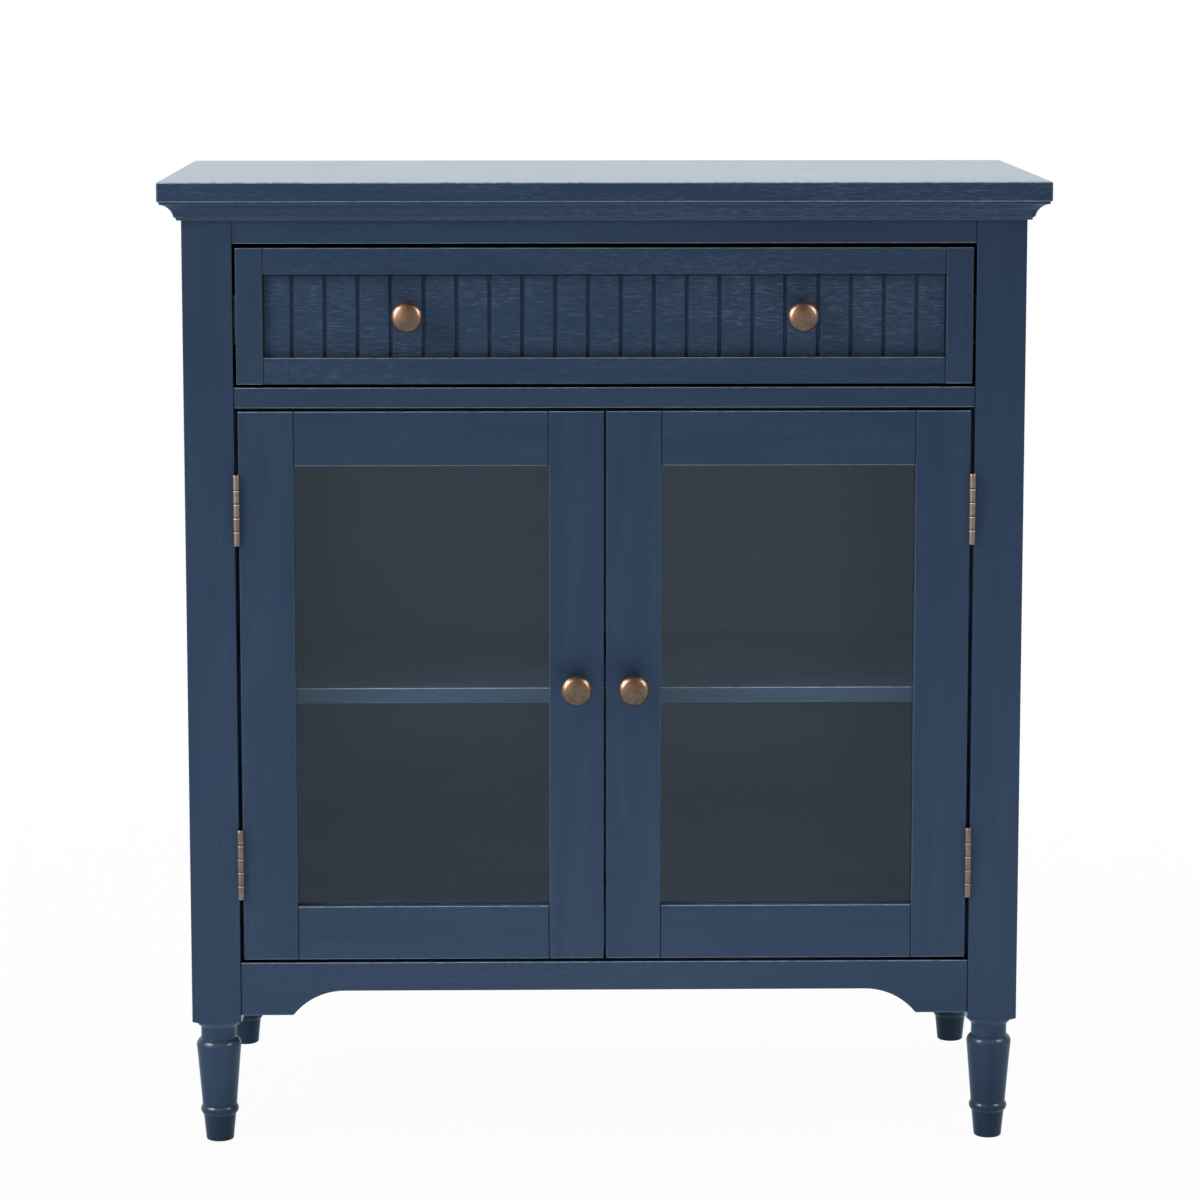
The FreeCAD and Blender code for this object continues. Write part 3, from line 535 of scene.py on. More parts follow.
@dataclass(frozen=True)
class BareWood(WoodFinish):
    """Pale wood under a thin clear lacquer."""

    pore_length: float = 14 * MM
    pore_width: float = 0.5 * MM
    figure_length: float = 300 * MM
    figure_width: float = 14 * MM
    early: Colour = (0.600, 0.440, 0.275)
    late: Colour = (0.440, 0.290, 0.160)
    pore: Colour = (0.270, 0.165, 0.085)
    ring_count: float = 9.0
    rings: Span = (0.15, 0.95)
    pore_show: float = 0.5
    rub: float = 0.3
    gloss: Span = (0.42, 0.62)
    ior: float = 1.45
    bump_depth: float = 0.12 * MM
    bump_strength: float = 0.35

    def shade(self, bench: NodeBench, place: Socket) -> Socket:
        """Lay the wood: rings, pores and a dull lacquer.

        Args:
            bench: The bench of the material's tree.
            place: Object coordinates.

        Returns:
            The shader's output.
        """
        grain = self.grain(bench, place)
        edge = self.edges(bench, place)
        rings = bench.math("PINGPONG", bench.times(grain["Tone"], self.ring_count), 1.0)
        colour = bench.mix(bench.span(rings, *self.rings), self.early, self.late)
        colour = bench.cover(colour, self.pore, grain["Pores"], self.pore_show)
        colour = bench.cover(colour, self.early, edge["Edge"], self.rub)
        return bench.principled({
            "Base Color": colour, "IOR": self.ior,
            "Roughness": bench.span(grain["Pores"], 0.0, 1.0, *self.gloss),
            "Normal": self.relief(bench, grain["Height"], edge)})


@dataclass(frozen=True)
class AgedMetal(EdgedFinish):
    """Plated metal, darkened in patches, rubbed bright on its edges, with painted shade and highlight lines
    at its seams.
    """

    ease: float = 0.8 * MM
    break_up: float = 1.4
    plate: Colour = (0.352, 0.192, 0.104)
    dark: Colour = (0.230, 0.114, 0.059)
    rubbed_and_seam_highlight: Colour = (0.760, 0.580, 0.430)
    seam_shade: Colour = (0.050, 0.036, 0.030)
    patch_size: float = 5 * MM
    speck_size: float = 0.9 * MM
    speck_show: float = 0.35
    rub: float = 0.4
    seams: tuple[float, ...] = ()
    seam_width: float = 0.8 * MM
    seam_front: float = -176.9 * MM
    smooth: float = 0.36
    dull: float = 0.46
    coat: float = 0.8
    coat_roughness: float = 0.22
    coat_ior: float = 1.7

    def shade(self, bench: NodeBench, place: Socket) -> Socket:
        """Lay the metal: patina in patches and specks, bright rubbed edges, painted shade in the seams with a
        painted highlight just below, and an uneven polish.

        Args:
            bench: The bench of the material's tree.
            place: Object coordinates.

        Returns:
            The shader's output.
        """
        age = bench.group(GROUPS.patches, {"Vector": place, "Patch Size": self.patch_size,
                                           "Speck Size": self.speck_size})
        edge = self.edges(bench, place)
        colour = bench.mix(age["Patches"], self.plate, self.dark)
        colour = bench.cover(colour, self.dark, age["Specks"], self.speck_show)
        colour = bench.cover(colour, self.rubbed_and_seam_highlight, edge["Edge"], self.rub)
        _, depth, up = bench.split(place)
        barrel = bench.math("LESS_THAN", depth, self.seam_front)
        # Each knuckle seam gets a painted shade line, with a painted highlight line just below it.
        for level in self.seams:
            for height, tone in ((level - self.seam_width, self.rubbed_and_seam_highlight), (level, self.seam_shade)):
                line = self.line(bench, up, height, self.seam_width)
                colour = bench.cover(colour, tone, line, barrel)
        return bench.principled({
            "Base Color": colour, "Metallic": 1.0,
            "Roughness": bench.span(age["Patches"], 0.0, 1.0, self.smooth, self.dull),
            "Coat Weight": self.coat, "Coat Roughness": self.coat_roughness, "Coat IOR": self.coat_ior,
            "Normal": self.relief(bench, age["Specks"], edge)})


@dataclass(frozen=True)
class PaneGlass(Finish):
    """Clear float glass that lets the lamps through."""

    tint: Colour = (0.930, 0.965, 0.955)
    smear_scale: float = 14.0
    smears: Span = (0.4, 0.75, 0.0, 0.008)
    ior: float = 1.5

    def shade(self, bench: NodeBench, place: Socket) -> Socket:
        """Lay the glass, wiped nearly clean.

        Args:
            bench: The bench of the material's tree.
            place: Object coordinates.

        Returns:
            The shader's output.
        """
        wiped = bench.span(bench.noise(place, self.smear_scale, 3.0, 0.6, 0.5), *self.smears)
        glass = bench.principled({"Base Color": self.tint, "Roughness": wiped, "IOR": self.ior,
                                  "Transmission Weight": 1.0})
        clear = bench.out("ShaderNodeBsdfTransparent", {"Color": self.tint})
        return bench.shaders(bench.out("ShaderNodeLightPath", output="Is Shadow Ray"), glass, clear)


@dataclass(frozen=True)
class MouldedPlastic(EdgedFinish):
    """Dull moulded plastic with a fine texture."""

    ease: float = 0.7 * MM
    tone: Colour = (0.075, 0.047, 0.032)
    worn: Colour = (0.130, 0.090, 0.066)
    patch_size: float = 12 * MM
    speck_size: float = 0.4 * MM
    patch_show: float = 0.3
    rub: float = 0.5
    gloss: Span = (0.5, 0.66)
    ior: float = 1.46
    bump_strength: float = 0.4

    def shade(self, bench: NodeBench, place: Socket) -> Socket:
        """Lay the plastic: a spark-eroded texture and paler edges.

        Args:
            bench: The bench of the material's tree.
            place: Object coordinates.

        Returns:
            The shader's output.
        """
        mould = bench.group(GROUPS.patches, {"Vector": place, "Patch Size": self.patch_size,
                                             "Speck Size": self.speck_size})
        edge = self.edges(bench, place)
        colour = bench.cover(self.tone, self.worn, mould["Patches"], self.patch_show)
        colour = bench.cover(colour, self.worn, edge["Edge"], self.rub)
        return bench.principled({
            "Base Color": colour, "IOR": self.ior,
            "Roughness": bench.span(mould["Specks"], 0.0, 1.0, *self.gloss),
            "Normal": self.relief(bench, mould["Specks"], edge)})


@dataclass(frozen=True)
class StudioFloor(Finish):
    """A pale matt floor, white to the eye, that keeps the cabinet's shadow."""

    tone: float = 0.82
    in_gloss: Colour = (0.375, 0.47, 0.55)
    shadow_near: float = 0.7
    shadow_far: float = 2.2
    shadow_share: float = 0.04

    def shade(self, bench: NodeBench, place: Socket) -> Socket:
        """Lay the floor: matt under the lamps, even in gloss, and white seen directly or through glass.

        Args:
            bench: The bench of the material's tree.
            place: Object coordinates.

        Returns:
            The shader's output.
        """
        white, even = (bench.out("ShaderNodeEmission", {"Color": colour, "Strength": 1.0})
                       for colour in (WHITE, self.in_gloss))
        matt = bench.out("ShaderNodeBsdfDiffuse", {"Color": (self.tone,) * 3})
        rays = bench.add("ShaderNodeLightPath").outputs
        seen = bench.shaders(rays["Is Glossy Ray"], matt, even)
        plain = bench.span(bench.vector("LENGTH", place, output=1), self.shadow_near, self.shadow_far,
                           1.0 - self.shadow_share, 1.0)
        turns = bench.math("ADD", rays["Diffuse Depth"], rays["Glossy Depth"])
        through = bench.times(rays["Is Transmission Ray"], bench.math("LESS_THAN", turns, 0.5))
        eye = bench.times(bench.math("MAXIMUM", rays["Is Camera Ray"], through), plain)
        return bench.shaders(eye, seen, white)


PANEL_HALF = 308 * MM
PANEL_TOP = 806 * MM
HINGE_FEET = (233.75 * MM, 561.25 * MM)
HINGE_KNUCKLES = 5
KNUCKLE_HEIGHT = 12.6 * MM
HINGE_SEAMS = tuple(foot + KNUCKLE_HEIGHT * seam for foot in HINGE_FEET for seam in range(1, HINGE_KNUCKLES))
HINGE_SCREW_LEVELS = (246.75 * MM, 283.75 * MM, 574.25 * MM, 611.25 * MM)
HINGE_SCREW_DEPTH = -168.5 * MM
SLIDE_LEVEL = 762 * MM

NAVY_ACROSS = NavyPaint("navy_paint_across")
NAVY_INSIDE = NavyPaint("navy_paint_inside", painted_glint_show=0.1, pore_show=0.12, bump_strength=0.2)
# The crown's light edge colour is mostly a painted highlight on its bead and lower lip.
NAVY_CROWN = NavyPaint("navy_paint_crown", rubbed_and_highlight=(0.24, 0.29, 0.36), ease=1.4 * MM, rub=1.0, eased_show=0.0)
NAVY_CROWN_DEEP = replace(NAVY_CROWN, name="navy_paint_crown_deep", way=GrainWay.DEEP)
# The beadboard's lines at the stiles and at the panel top are painted shadow cast by the stiles and the top
# rail.
NAVY_BEADBOARD = NavyPaint("navy_paint_beadboard", painted_glint_show=0.85, eased_show=0.25, joints=(PANEL_HALF,),
                           shadow_lines=(PANEL_TOP,), joint_width=2.2 * MM)
# Rail joint lines are dark lines where rails meet stiles and posts, partly the joint and partly painted shade
# in it.
NAVY_CASE_RAIL = NavyPaint("navy_paint_case_rail", painted_glint_show=0.15, pore_show=0.2, bump_strength=0.3,
                           joints=(335 * MM,))
NAVY_DRAWER_RAIL = NavyPaint("navy_paint_drawer_rail", painted_glint_show=0.5, pore_show=0.5, under_show=0.0,
                             joints=(PANEL_HALF,))
NAVY_DOOR_RAIL = NavyPaint("navy_paint_door_rail", painted_glint_show=0.12, pore_show=0.16, bump_strength=0.25,
                           joints=(50.7 * MM, 281.9 * MM))
NAVY_UPRIGHT = NavyPaint("navy_paint_upright", way=GrainWay.UPRIGHT, pore_length=26 * MM, painted_glint_show=0.11,
                         pore_show=0.16, bump_strength=0.2)
NAVY_POST = replace(NAVY_UPRIGHT, name="navy_paint_post", eased_show=0.12, coat_roughness=0.08)
BOX_WOOD_ACROSS = BareWood("drawer_wood_across")
BOX_WOOD_DEEP = BareWood("drawer_wood_deep", way=GrainWay.DEEP)
KNOB_BRONZE = AgedMetal("knob_bronze")
HINGE_BRONZE = AgedMetal("hinge_plating", plate=(0.460, 0.300, 0.226), dark=(0.310, 0.190, 0.138),
                         rubbed_and_seam_highlight=(0.860, 0.720, 0.620), patch_size=9 * MM, smooth=0.34, dull=0.46,
                         seams=HINGE_SEAMS)
ZINC = AgedMetal("zinc_plate", plate=(0.520, 0.530, 0.540), dark=(0.380, 0.390, 0.410),
                 rubbed_and_seam_highlight=(0.780, 0.780, 0.780), patch_size=22 * MM, smooth=0.3, dull=0.42, rub=0.3)
GLASS = PaneGlass("pane_glass")
CATCH_PLASTIC = MouldedPlastic("catch_plastic")
FLOOR = StudioFloor("studio_floor")


def dress(finish: Finish, *nodes: str) -> None:
    """Give CAD nodes their finish.

    Args:
        finish: What they are finished with.
        *nodes: The nodes' names.
    """
    for node in nodes:
        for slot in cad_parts[node].material_slots:
            slot.material = finish.material()
        LOG.info("dressed %s in %s", node, finish.name)


def new_object(name: str, data: bpy.types.ID) -> bpy.types.Object:
    """Link a mesh, lamp or camera into the scene as an object at the origin.

    Args:
        name: The object's name.
        data: What the object shows.

    Returns:
        The object.
    """
    made = bpy.data.objects.new(name, data)
    bpy.context.scene.collection.objects.link(made)
    return made


def finished_mesh(name: str, work: bmesh.types.BMesh, finish: Finish) -> Mesh:
    """End mesh work as a mesh of one finish.

    Args:
        name: The mesh's name.
        work: The work, which is freed.
        finish: What the mesh is finished with.

    Returns:
        The mesh.
    """
    mesh = bpy.data.meshes.new(name)
    work.to_mesh(mesh)
    work.free()
    mesh.materials.append(finish.material())
    return mesh


def place_piece(name: str, mesh: Mesh, body: str, nodes: Sequence[str]) -> None:
    """Let a new piece ride on its body in place of CAD nodes.

    Args:
        name: The piece's name.
        mesh: Its finished mesh.
        body: The body that carries it.
        nodes: The CAD nodes that it stands for.
    """
    piece = new_object(name, mesh)
    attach(piece, body)
    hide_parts(*nodes)
    LOG.info("built %s with %d faces for %s", name, len(mesh.polygons), ", ".join(nodes))


def place_fixings(name: str, body: str, node: str, meshes: Sequence[Mesh]) -> None:
    """Join zinc-plated fixings into one piece and place it.

    Args:
        name: The piece's name.
        body: The body that carries it.
        node: The CAD node that it stands for.
        meshes: What to join.
    """
    work = bmesh.new()
    for mesh in meshes:
        work.from_mesh(mesh)
        bpy.data.meshes.remove(mesh)
    place_piece(name, finished_mesh(name, work, ZINC), body, [node])


class GeometryRecipe(GroupBench):
    """A geometry node tree that turns a starting mesh into a finished one."""

    def __init__(self, name: str, inputs: dict[str, str]) -> None:
        """Start the tree.

        Args:
            name: The tree's name.
            inputs: Socket types by input name, besides the geometry and the material.
        """
        sockets = {"Geometry": GEOMETRY, **inputs, "Material": "NodeSocketMaterial"}
        super().__init__(name, "GeometryNodeTree", sockets, {"Geometry": GEOMETRY})

    def position(self) -> Socket:
        """Read where each point is."""
        return self.out("GeometryNodeInputPosition")

    def moved(self, shape: Socket, way: Feed, **turn: Feed) -> Socket:
        """Move a shape, and turn it where a Rotation is given."""
        return self.out("GeometryNodeTransform", {"Geometry": shape, "Translation": way, **turn})

    def close(self, shape: Socket) -> None:
        """End the tree: real geometry with its material.

        Args:
            shape: The geometry so far, instances included.
        """
        real = self.out("GeometryNodeRealizeInstances", {0: shape})
        self.give({"Geometry": self.out("GeometryNodeSetMaterial", {"Geometry": real,
                                                                    "Material": self.start["Material"]})})

    def make(self, name: str, start: Mesh, values: dict[str, Feed]) -> Mesh:
        """Run the tree on a mesh.

        Args:
            name: The name of the mesh that comes out.
            start: The mesh that goes in.
            values: What the tree's inputs take, by name.

        Returns:
            A plain mesh.
        """
        carrier = new_object(name, start)
        modifier = carrier.modifiers.new(name, "NODES")
        modifier.node_group = self.tree
        for item in self.tree.interface.items_tree:
            if item.in_out == "INPUT" and item.name in values:
                modifier[item.identifier] = values[item.name]
        graph = bpy.context.evaluated_depsgraph_get()
        made = bpy.data.meshes.new_from_object(carrier.evaluated_get(graph), preserve_all_data_layers=True,
                                               depsgraph=graph)
        made.name = name
        # Shapes made by nodes bring an empty first slot, so the one material is set afresh.
        made.materials.clear()
        made.materials.append(values["Material"])
        made.polygons.foreach_set("material_index", [0] * len(made.polygons))
        bpy.data.objects.remove(carrier)
        return made


class BeadboardRecipe(GeometryRecipe):
    """A panel with evenly spaced upright grooves in its front."""

    def __init__(self) -> None:
        """Build the tree."""
        super().__init__("beadboard", {
            **floats("Width", "Thickness", "Height", "Pitch", "Groove Width", "Groove Floor", "Groove Depth"),
            "Centre": VECTOR, "Columns": INTEGER})
        sizes = self.start
        size = self.combine(sizes["Width"], sizes["Thickness"], sizes["Height"])
        board = self.out("GeometryNodeMeshCube", {"Size": size, "Vertices X": sizes["Columns"]})
        across, depth, _ = self.split(self.position())
        turn = self.math("ADD", self.math("DIVIDE", across, sizes["Pitch"]), 0.5)
        off = self.math("ABSOLUTE", self.math("SUBTRACT", turn, self.math("ROUND", turn)))
        half_mouth = self.times(sizes["Groove Width"], 0.5)
        half_floor = self.times(sizes["Groove Floor"], 0.5)
        sunk = self.span(self.times(off, sizes["Pitch"]), half_floor, half_mouth, sizes["Groove Depth"], 0.0)
        front = self.math("LESS_THAN", depth, 0.0)
        grooved = self.out("GeometryNodeSetPosition", {"Geometry": board, "Selection": front,
                                                       "Offset": self.combine(y=sunk)})
        self.close(self.moved(grooved, sizes["Centre"]))


class TurnedRecipe(GeometryRecipe):
    """A turned piece: a line of radius and height, swept round an axis and set in place."""

    LUMP_SCALE = 260.0
    MERGE = 0.01 * MM

    def __init__(self) -> None:
        """Build the tree."""
        super().__init__("turned_piece", {"Rings": INTEGER, "Segments": INTEGER,
                                          **floats("Unevenness", "Seed"), "Place": VECTOR, "Turn": VECTOR})
        line = self.out("GeometryNodeMeshToCurve", {0: self.start["Geometry"]})
        sheet = self.out("GeometryNodeMeshGrid", {
            "Size X": 1.0, "Size Y": 1.0, "Vertices X": self.start["Segments"],
            "Vertices Y": self.start["Rings"]})
        around, along, _ = self.split(self.position())
        angle = self.times(around, math.tau)
        sample = self.add("GeometryNodeSampleCurve", {"Curves": line}, mode="FACTOR", use_all_curves=True)
        self.feed(sample.inputs["Factor"], self.math("ADD", along, 0.5))
        radius, _, height = self.split(sample.outputs["Position"])
        round_place = self.combine(self.times(radius, self.math("COSINE", angle)),
                                   self.times(radius, self.math("SINE", angle)), height)
        swept = self.out("GeometryNodeSetPosition", {"Geometry": sheet, "Position": round_place})
        closed = self.out("GeometryNodeMergeByDistance", {"Geometry": swept, "Distance": self.MERGE})
        here = self.vector("ADD", self.position(), self.combine(self.start["Seed"]))
        lumps = self.math("SUBTRACT", self.noise(here, self.LUMP_SCALE, 2.0), 0.5)
        shift = self.scaled(self.out("GeometryNodeInputNormal"), self.times(lumps, self.start["Unevenness"]))
        cast = self.out("GeometryNodeSetPosition", {"Geometry": closed, "Offset": shift})
        smooth = self.out("GeometryNodeSetShadeSmooth", {"Geometry": cast, "Shade Smooth": True})
        turn = self.out("FunctionNodeEulerToRotation", {0: self.start["Turn"]})
        self.close(self.moved(smooth, self.start["Place"], Rotation=turn))


class ScrewRecipe(GeometryRecipe):
    """Cross-headed screws, one at each point, each at its own turn."""

    HEAD_SIDES = 28
    SHANK_SIDES = 16
    ARM_SHARE = 1.15
    BLADE_SHARE = 0.26

    def __init__(self) -> None:
        """Build the tree."""
        super().__init__("cross_head_screws", {
            **floats("Outer Radius", "Inner Radius", "Head Height", "Sunk", "Shank Radius", "Shank Length"),
            "Seed": INTEGER})
        height, outer, length = (self.start[size] for size in ("Head Height", "Outer Radius", "Shank Length"))
        head = self.out("GeometryNodeMeshCone", {
            "Vertices": self.HEAD_SIDES, "Radius Top": outer, "Radius Bottom": self.start["Inner Radius"],
            "Depth": height})
        base = self.times(self.times(height, self.start["Sunk"]), -1.0)
        cut = self.moved(head, self.combine(z=base))
        top = self.combine(z=self.math("ADD", base, height))
        arm, blade = (self.times(outer, share) for share in (self.ARM_SHARE, self.BLADE_SHARE))
        for along, across in ((arm, blade), (blade, arm)):
            bar = self.out("GeometryNodeMeshCube", {"Size": self.combine(along, across, height)})
            cut = self.out("GeometryNodeMeshBoolean", {0: cut, 1: self.moved(bar, top)},
                           operation="DIFFERENCE", solver="EXACT")
        shank = self.out("GeometryNodeMeshCylinder", {
            "Vertices": self.SHANK_SIDES, "Radius": self.start["Shank Radius"], "Depth": length})
        stem = self.moved(shank, self.combine(z=self.math("ADD", self.times(length, -0.5), base)))
        screw = self.add("GeometryNodeJoinGeometry")
        for shape in (cut, stem):
            self.feed(screw.inputs[0], shape)
        outward = self.out("GeometryNodeInputNamedAttribute", {"Name": "outward"}, "Attribute",
                           data_type="FLOAT_VECTOR")
        aimed = self.out("FunctionNodeAlignRotationToVector", {"Vector": outward}, axis="Z")
        chance = self.out("FunctionNodeRandomValue", {"Seed": self.start["Seed"], 3: math.tau}, 1,
                          data_type="FLOAT")
        spin = self.out("FunctionNodeAxisAngleToRotation", {"Axis": (0.0, 0.0, 1.0), "Angle": chance})
        turned = self.out("FunctionNodeRotateRotation", {0: aimed, 1: spin}, rotation_space="LOCAL")
        self.close(self.out("GeometryNodeInstanceOnPoints", {
            "Points": self.start["Geometry"], "Instance": screw.outputs[0], "Rotation": turned}))


BEADBOARD = BeadboardRecipe()
TURNED = TurnedRecipe()
SCREWS = ScrewRecipe()


@dataclass(frozen=True)
class ScrewKind:
    """One size of cross-headed screw."""

    style: HeadStyle
    outer_radius: float
    inner_radius: float
    head_height: float
    shank_radius: float
    shank_length: float

    def mesh(self, name: str, seats: Sequence[Seat], seed: int) -> Mesh:
        """Make screws of this kind.

        Args:
            name: The mesh's name.
            seats: The points where the screws enter their surface, each with the way its head faces.
            seed: What the heads' turns are drawn from.

        Returns:
            One mesh of all the screws.
        """
        points = bpy.data.meshes.new(name + "_places")
        points.from_pydata([tuple(place) for place, _ in seats], [], [])
        layer = points.attributes.new("outward", "FLOAT_VECTOR", "POINT")
        for item, (_, outward) in zip(layer.data, seats):
            item.vector = outward
        return SCREWS.make(name, points, {
            "Outer Radius": self.outer_radius, "Inner Radius": self.inner_radius,
            "Head Height": self.head_height, "Sunk": self.style.value, "Shank Radius": self.shank_radius,
            "Shank Length": self.shank_length, "Seed": seed, "Material": ZINC.material()})


WOOD_SCREW = ScrewKind(HeadStyle.SUNK, 2.7 * MM, 1.4 * MM, 1.1 * MM, 1.4 * MM, 12.5 * MM)
PAN_SCREW = ScrewKind(HeadStyle.STANDING, 2.9 * MM, 3.4 * MM, 1.4 * MM, 1.75 * MM, 10 * MM)
FRONT_SCREW = replace(PAN_SCREW, shank_length=20 * MM)
KNOB_SCREW = ScrewKind(HeadStyle.STANDING, 3.5 * MM, 4.0 * MM, 2.4 * MM, 2.0 * MM, 30 * MM)


@dataclass
class Knob:
    """A mushroom knob of cast bronze, turned from radius against height."""

    name: str
    body: str
    across: float
    face: float
    level: float
    radius: float = 14 * MM
    projection: float = 26 * MM
    rim_round: float = 5.8 * MM
    rim_level: float = 18.6 * MM
    base_radius: float = 8.5 * MM
    base_height: float = 2 * MM
    base_ease: float = 0.4 * MM
    base_flat: float = 0.94
    base_shoulder: float = 0.95
    neck_radius: float = 5.5 * MM
    neck_level: float = 8 * MM
    flare_lift: float = 0.85
    neck_steps: int = 8
    rim_steps: int = 14
    crown_steps: int = 16
    rings: int = 90
    segments: int = 65
    unevenness: float = 0.04 * MM
    seed_scale: float = 10.0

    def outline(self) -> list[Point]:
        """Draw the knob's outline from its base to the top of its crown.

        Returns:
            Points with the radius as X and the height as Z.
        """
        hub = self.radius - self.rim_round
        rise = self.projection - self.rim_level
        crown = (hub ** 2 + rise ** 2 - self.rim_round ** 2) / (2 * (rise - self.rim_round))
        tilt = math.atan2(hub, self.rim_level - self.projection + crown)
        shoulder = self.base_radius * self.base_shoulder
        flare = self.rim_level - self.rim_round
        points = [(0.0, 0.0), (self.base_radius * self.base_flat, 0.0), (self.base_radius, self.base_ease),
                  (self.base_radius, self.base_height - self.base_ease), (shoulder, self.base_height)]
        for step in range(1, self.neck_steps + 1):
            share = step / self.neck_steps
            bend = math.sin(share * math.pi / 2)
            points.append((shoulder + (self.neck_radius - shoulder) * bend,
                           self.base_height + (self.neck_level - self.base_height) * share))
        for step in range(1, self.neck_steps):
            share = step / self.neck_steps
            bend = 1 - math.cos(share * math.pi / 2)
            points.append((self.neck_radius + (hub - self.neck_radius) * bend,
                           self.neck_level + (flare - self.neck_level) * share ** self.flare_lift))
        for step in range(self.rim_steps + 1):
            angle = -math.pi / 2 + (math.pi - tilt) * step / self.rim_steps
            points.append((hub + self.rim_round * math.cos(angle),
                           self.rim_level + self.rim_round * math.sin(angle)))
        for step in range(1, self.crown_steps + 1):
            angle = tilt * (1 - step / self.crown_steps)
            points.append((crown * math.sin(angle), self.projection - crown + crown * math.cos(angle)))
        return [(radius, 0.0, height) for radius, height in points]

    def build(self) -> None:
        """Turn the knob and set it on its face."""
        outline = self.outline()
        line = bpy.data.meshes.new(self.name + "_outline")
        line.from_pydata(outline, [(i, i + 1) for i in range(len(outline) - 1)], [])
        mesh = TURNED.make(self.name + "_cast", line, {
            "Rings": self.rings, "Segments": self.segments, "Unevenness": self.unevenness,
            "Seed": self.across * self.seed_scale, "Place": (self.across, self.face, self.level),
            "Turn": (math.pi / 2, 0.0, 0.0), "Material": KNOB_BRONZE.material()})
        work = bmesh.new()
        work.from_mesh(mesh)
        bmesh.ops.recalc_face_normals(work, faces=work.faces)
        work.to_mesh(mesh)
        work.free()
        place_piece(self.name + "_cast", mesh, self.body, [self.name])


@dataclass
class Carcass:
    """The fixed part of the cabinet: top, mouldings, posts, rails, panels, shelf and fittings."""

    post_leaf_face: float = 333.9 * MM
    slide_face: float = 333.8 * MM
    slide_screw_depths: tuple[float, ...] = (-137.5 * MM, 164 * MM)
    leaf_seed: int = 3
    slide_seed: int = 5

    def dress(self) -> None:
        """Finish the carcass's CAD nodes."""
        dress(NAVY_ACROSS, "top_panel")
        dress(NAVY_INSIDE, "bottom_panel", "divider_panel", "back_panel", "shelf")
        dress(NAVY_CASE_RAIL, "top_rail", "middle_rail", "front_apron", "rear_bottom_rail")
        dress(NAVY_CROWN, "crown_moulding_front")
        dress(NAVY_CROWN_DEEP, *both("crown_moulding"))
        dress(NAVY_POST, *both("front_post", "rear_post"))
        dress(NAVY_UPRIGHT, *both("side_panel"))
        dress(ZINC, "shelf_pins", *both("slide_cabinet_member"))
        dress(HINGE_BRONZE, "hinge_post_leaves", "hinge_pins")
        dress(CATCH_PLASTIC, "magnetic_catches")

    def build_screws(self) -> None:
        """Make the screws of the hinges' post leaves and of the slides."""
        leaves = [(side.point(self.post_leaf_face, HINGE_SCREW_DEPTH, level), side.inward)
                  for side in Side for level in HINGE_SCREW_LEVELS]
        slides = [(side.point(self.slide_face, depth, SLIDE_LEVEL), side.inward)
                  for side in Side for depth in self.slide_screw_depths]
        place_fixings("carcass_screws", "cabinet", "cabinet_screws", [
            WOOD_SCREW.mesh("post_leaf_screws", leaves, self.leaf_seed),
            PAN_SCREW.mesh("slide_post_screws", slides, self.slide_seed)])


@dataclass
class BeadboardDrawer:
    """The drawer: framed beadboard front, wooden box, knobs and slides."""

    panel_bottom: float = 731 * MM
    panel_face: float = -171 * MM
    panel_rear: float = -157 * MM
    pitch: float = 29.65 * MM
    groove_width: float = 4.8 * MM
    groove_floor: float = 1.2 * MM
    groove_depth: float = 2.8 * MM
    columns: int = 1850
    knob_across: float = 177.9 * MM
    box_inner_face: float = -145 * MM
    front_screw_across: float = 250.3 * MM
    front_screw_levels: tuple[float, ...] = (737 * MM, 787 * MM)
    member_face: float = 323.5 * MM
    member_depths: tuple[float, ...] = (-79.4 * MM, 111.4 * MM)
    knob_seed: int = 7
    front_seed: int = 11
    member_seed: int = 13

    @property
    def middle(self) -> float:
        """The height of the panel's middle, where the knobs sit."""
        return (self.panel_bottom + PANEL_TOP) / 2

    def dress(self) -> None:
        """Finish the drawer's CAD nodes."""
        dress(NAVY_DRAWER_RAIL, "drawer_front_top_rail", "drawer_front_bottom_rail")
        dress(BOX_WOOD_ACROSS, "drawer_box_front", "drawer_box_back", "drawer_box_bottom")
        dress(NAVY_UPRIGHT, *both("drawer_front_stile"))
        dress(BOX_WOOD_DEEP, *both("drawer_box_side"))
        dress(ZINC, *both("slide_middle_member", "slide_drawer_member"))

    def build_panel(self) -> None:
        """Make the beadboard panel."""
        mesh = BEADBOARD.make("beadboard_panel", bpy.data.meshes.new("beadboard_start"), {
            "Width": 2 * PANEL_HALF, "Thickness": self.panel_rear - self.panel_face,
            "Height": PANEL_TOP - self.panel_bottom, "Pitch": self.pitch,
            "Groove Width": self.groove_width, "Groove Floor": self.groove_floor,
            "Groove Depth": self.groove_depth, "Columns": self.columns,
            "Centre": (0.0, (self.panel_face + self.panel_rear) / 2, self.middle),
            "Material": NAVY_BEADBOARD.material()})
        place_piece("beadboard_panel", mesh, "drawer", ["drawer_front_panel"])

    def build_knobs(self) -> None:
        """Make both knobs."""
        for side in Side:
            Knob(side.named("drawer_knob"), "drawer", side.value * self.knob_across, self.panel_face,
                 self.middle).build()

    def build_screws(self) -> None:
        """Make the screws of the knobs, the front and the slides."""
        knobs = [(side.point(self.knob_across, self.box_inner_face, self.middle), REARWARD) for side in Side]
        fronts = [(side.point(self.front_screw_across, self.box_inner_face, level), REARWARD)
                  for side in Side for level in self.front_screw_levels]
        members = [(side.point(self.member_face, depth, SLIDE_LEVEL), side.outward)
                   for side in Side for depth in self.member_depths]
        place_fixings("drawer_box_screws", "drawer", "drawer_screws", [
            KNOB_SCREW.mesh("drawer_knob_screws", knobs, self.knob_seed),
            FRONT_SCREW.mesh("drawer_front_screws", fronts, self.front_seed),
            PAN_SCREW.mesh("slide_member_screws", members, self.member_seed)])


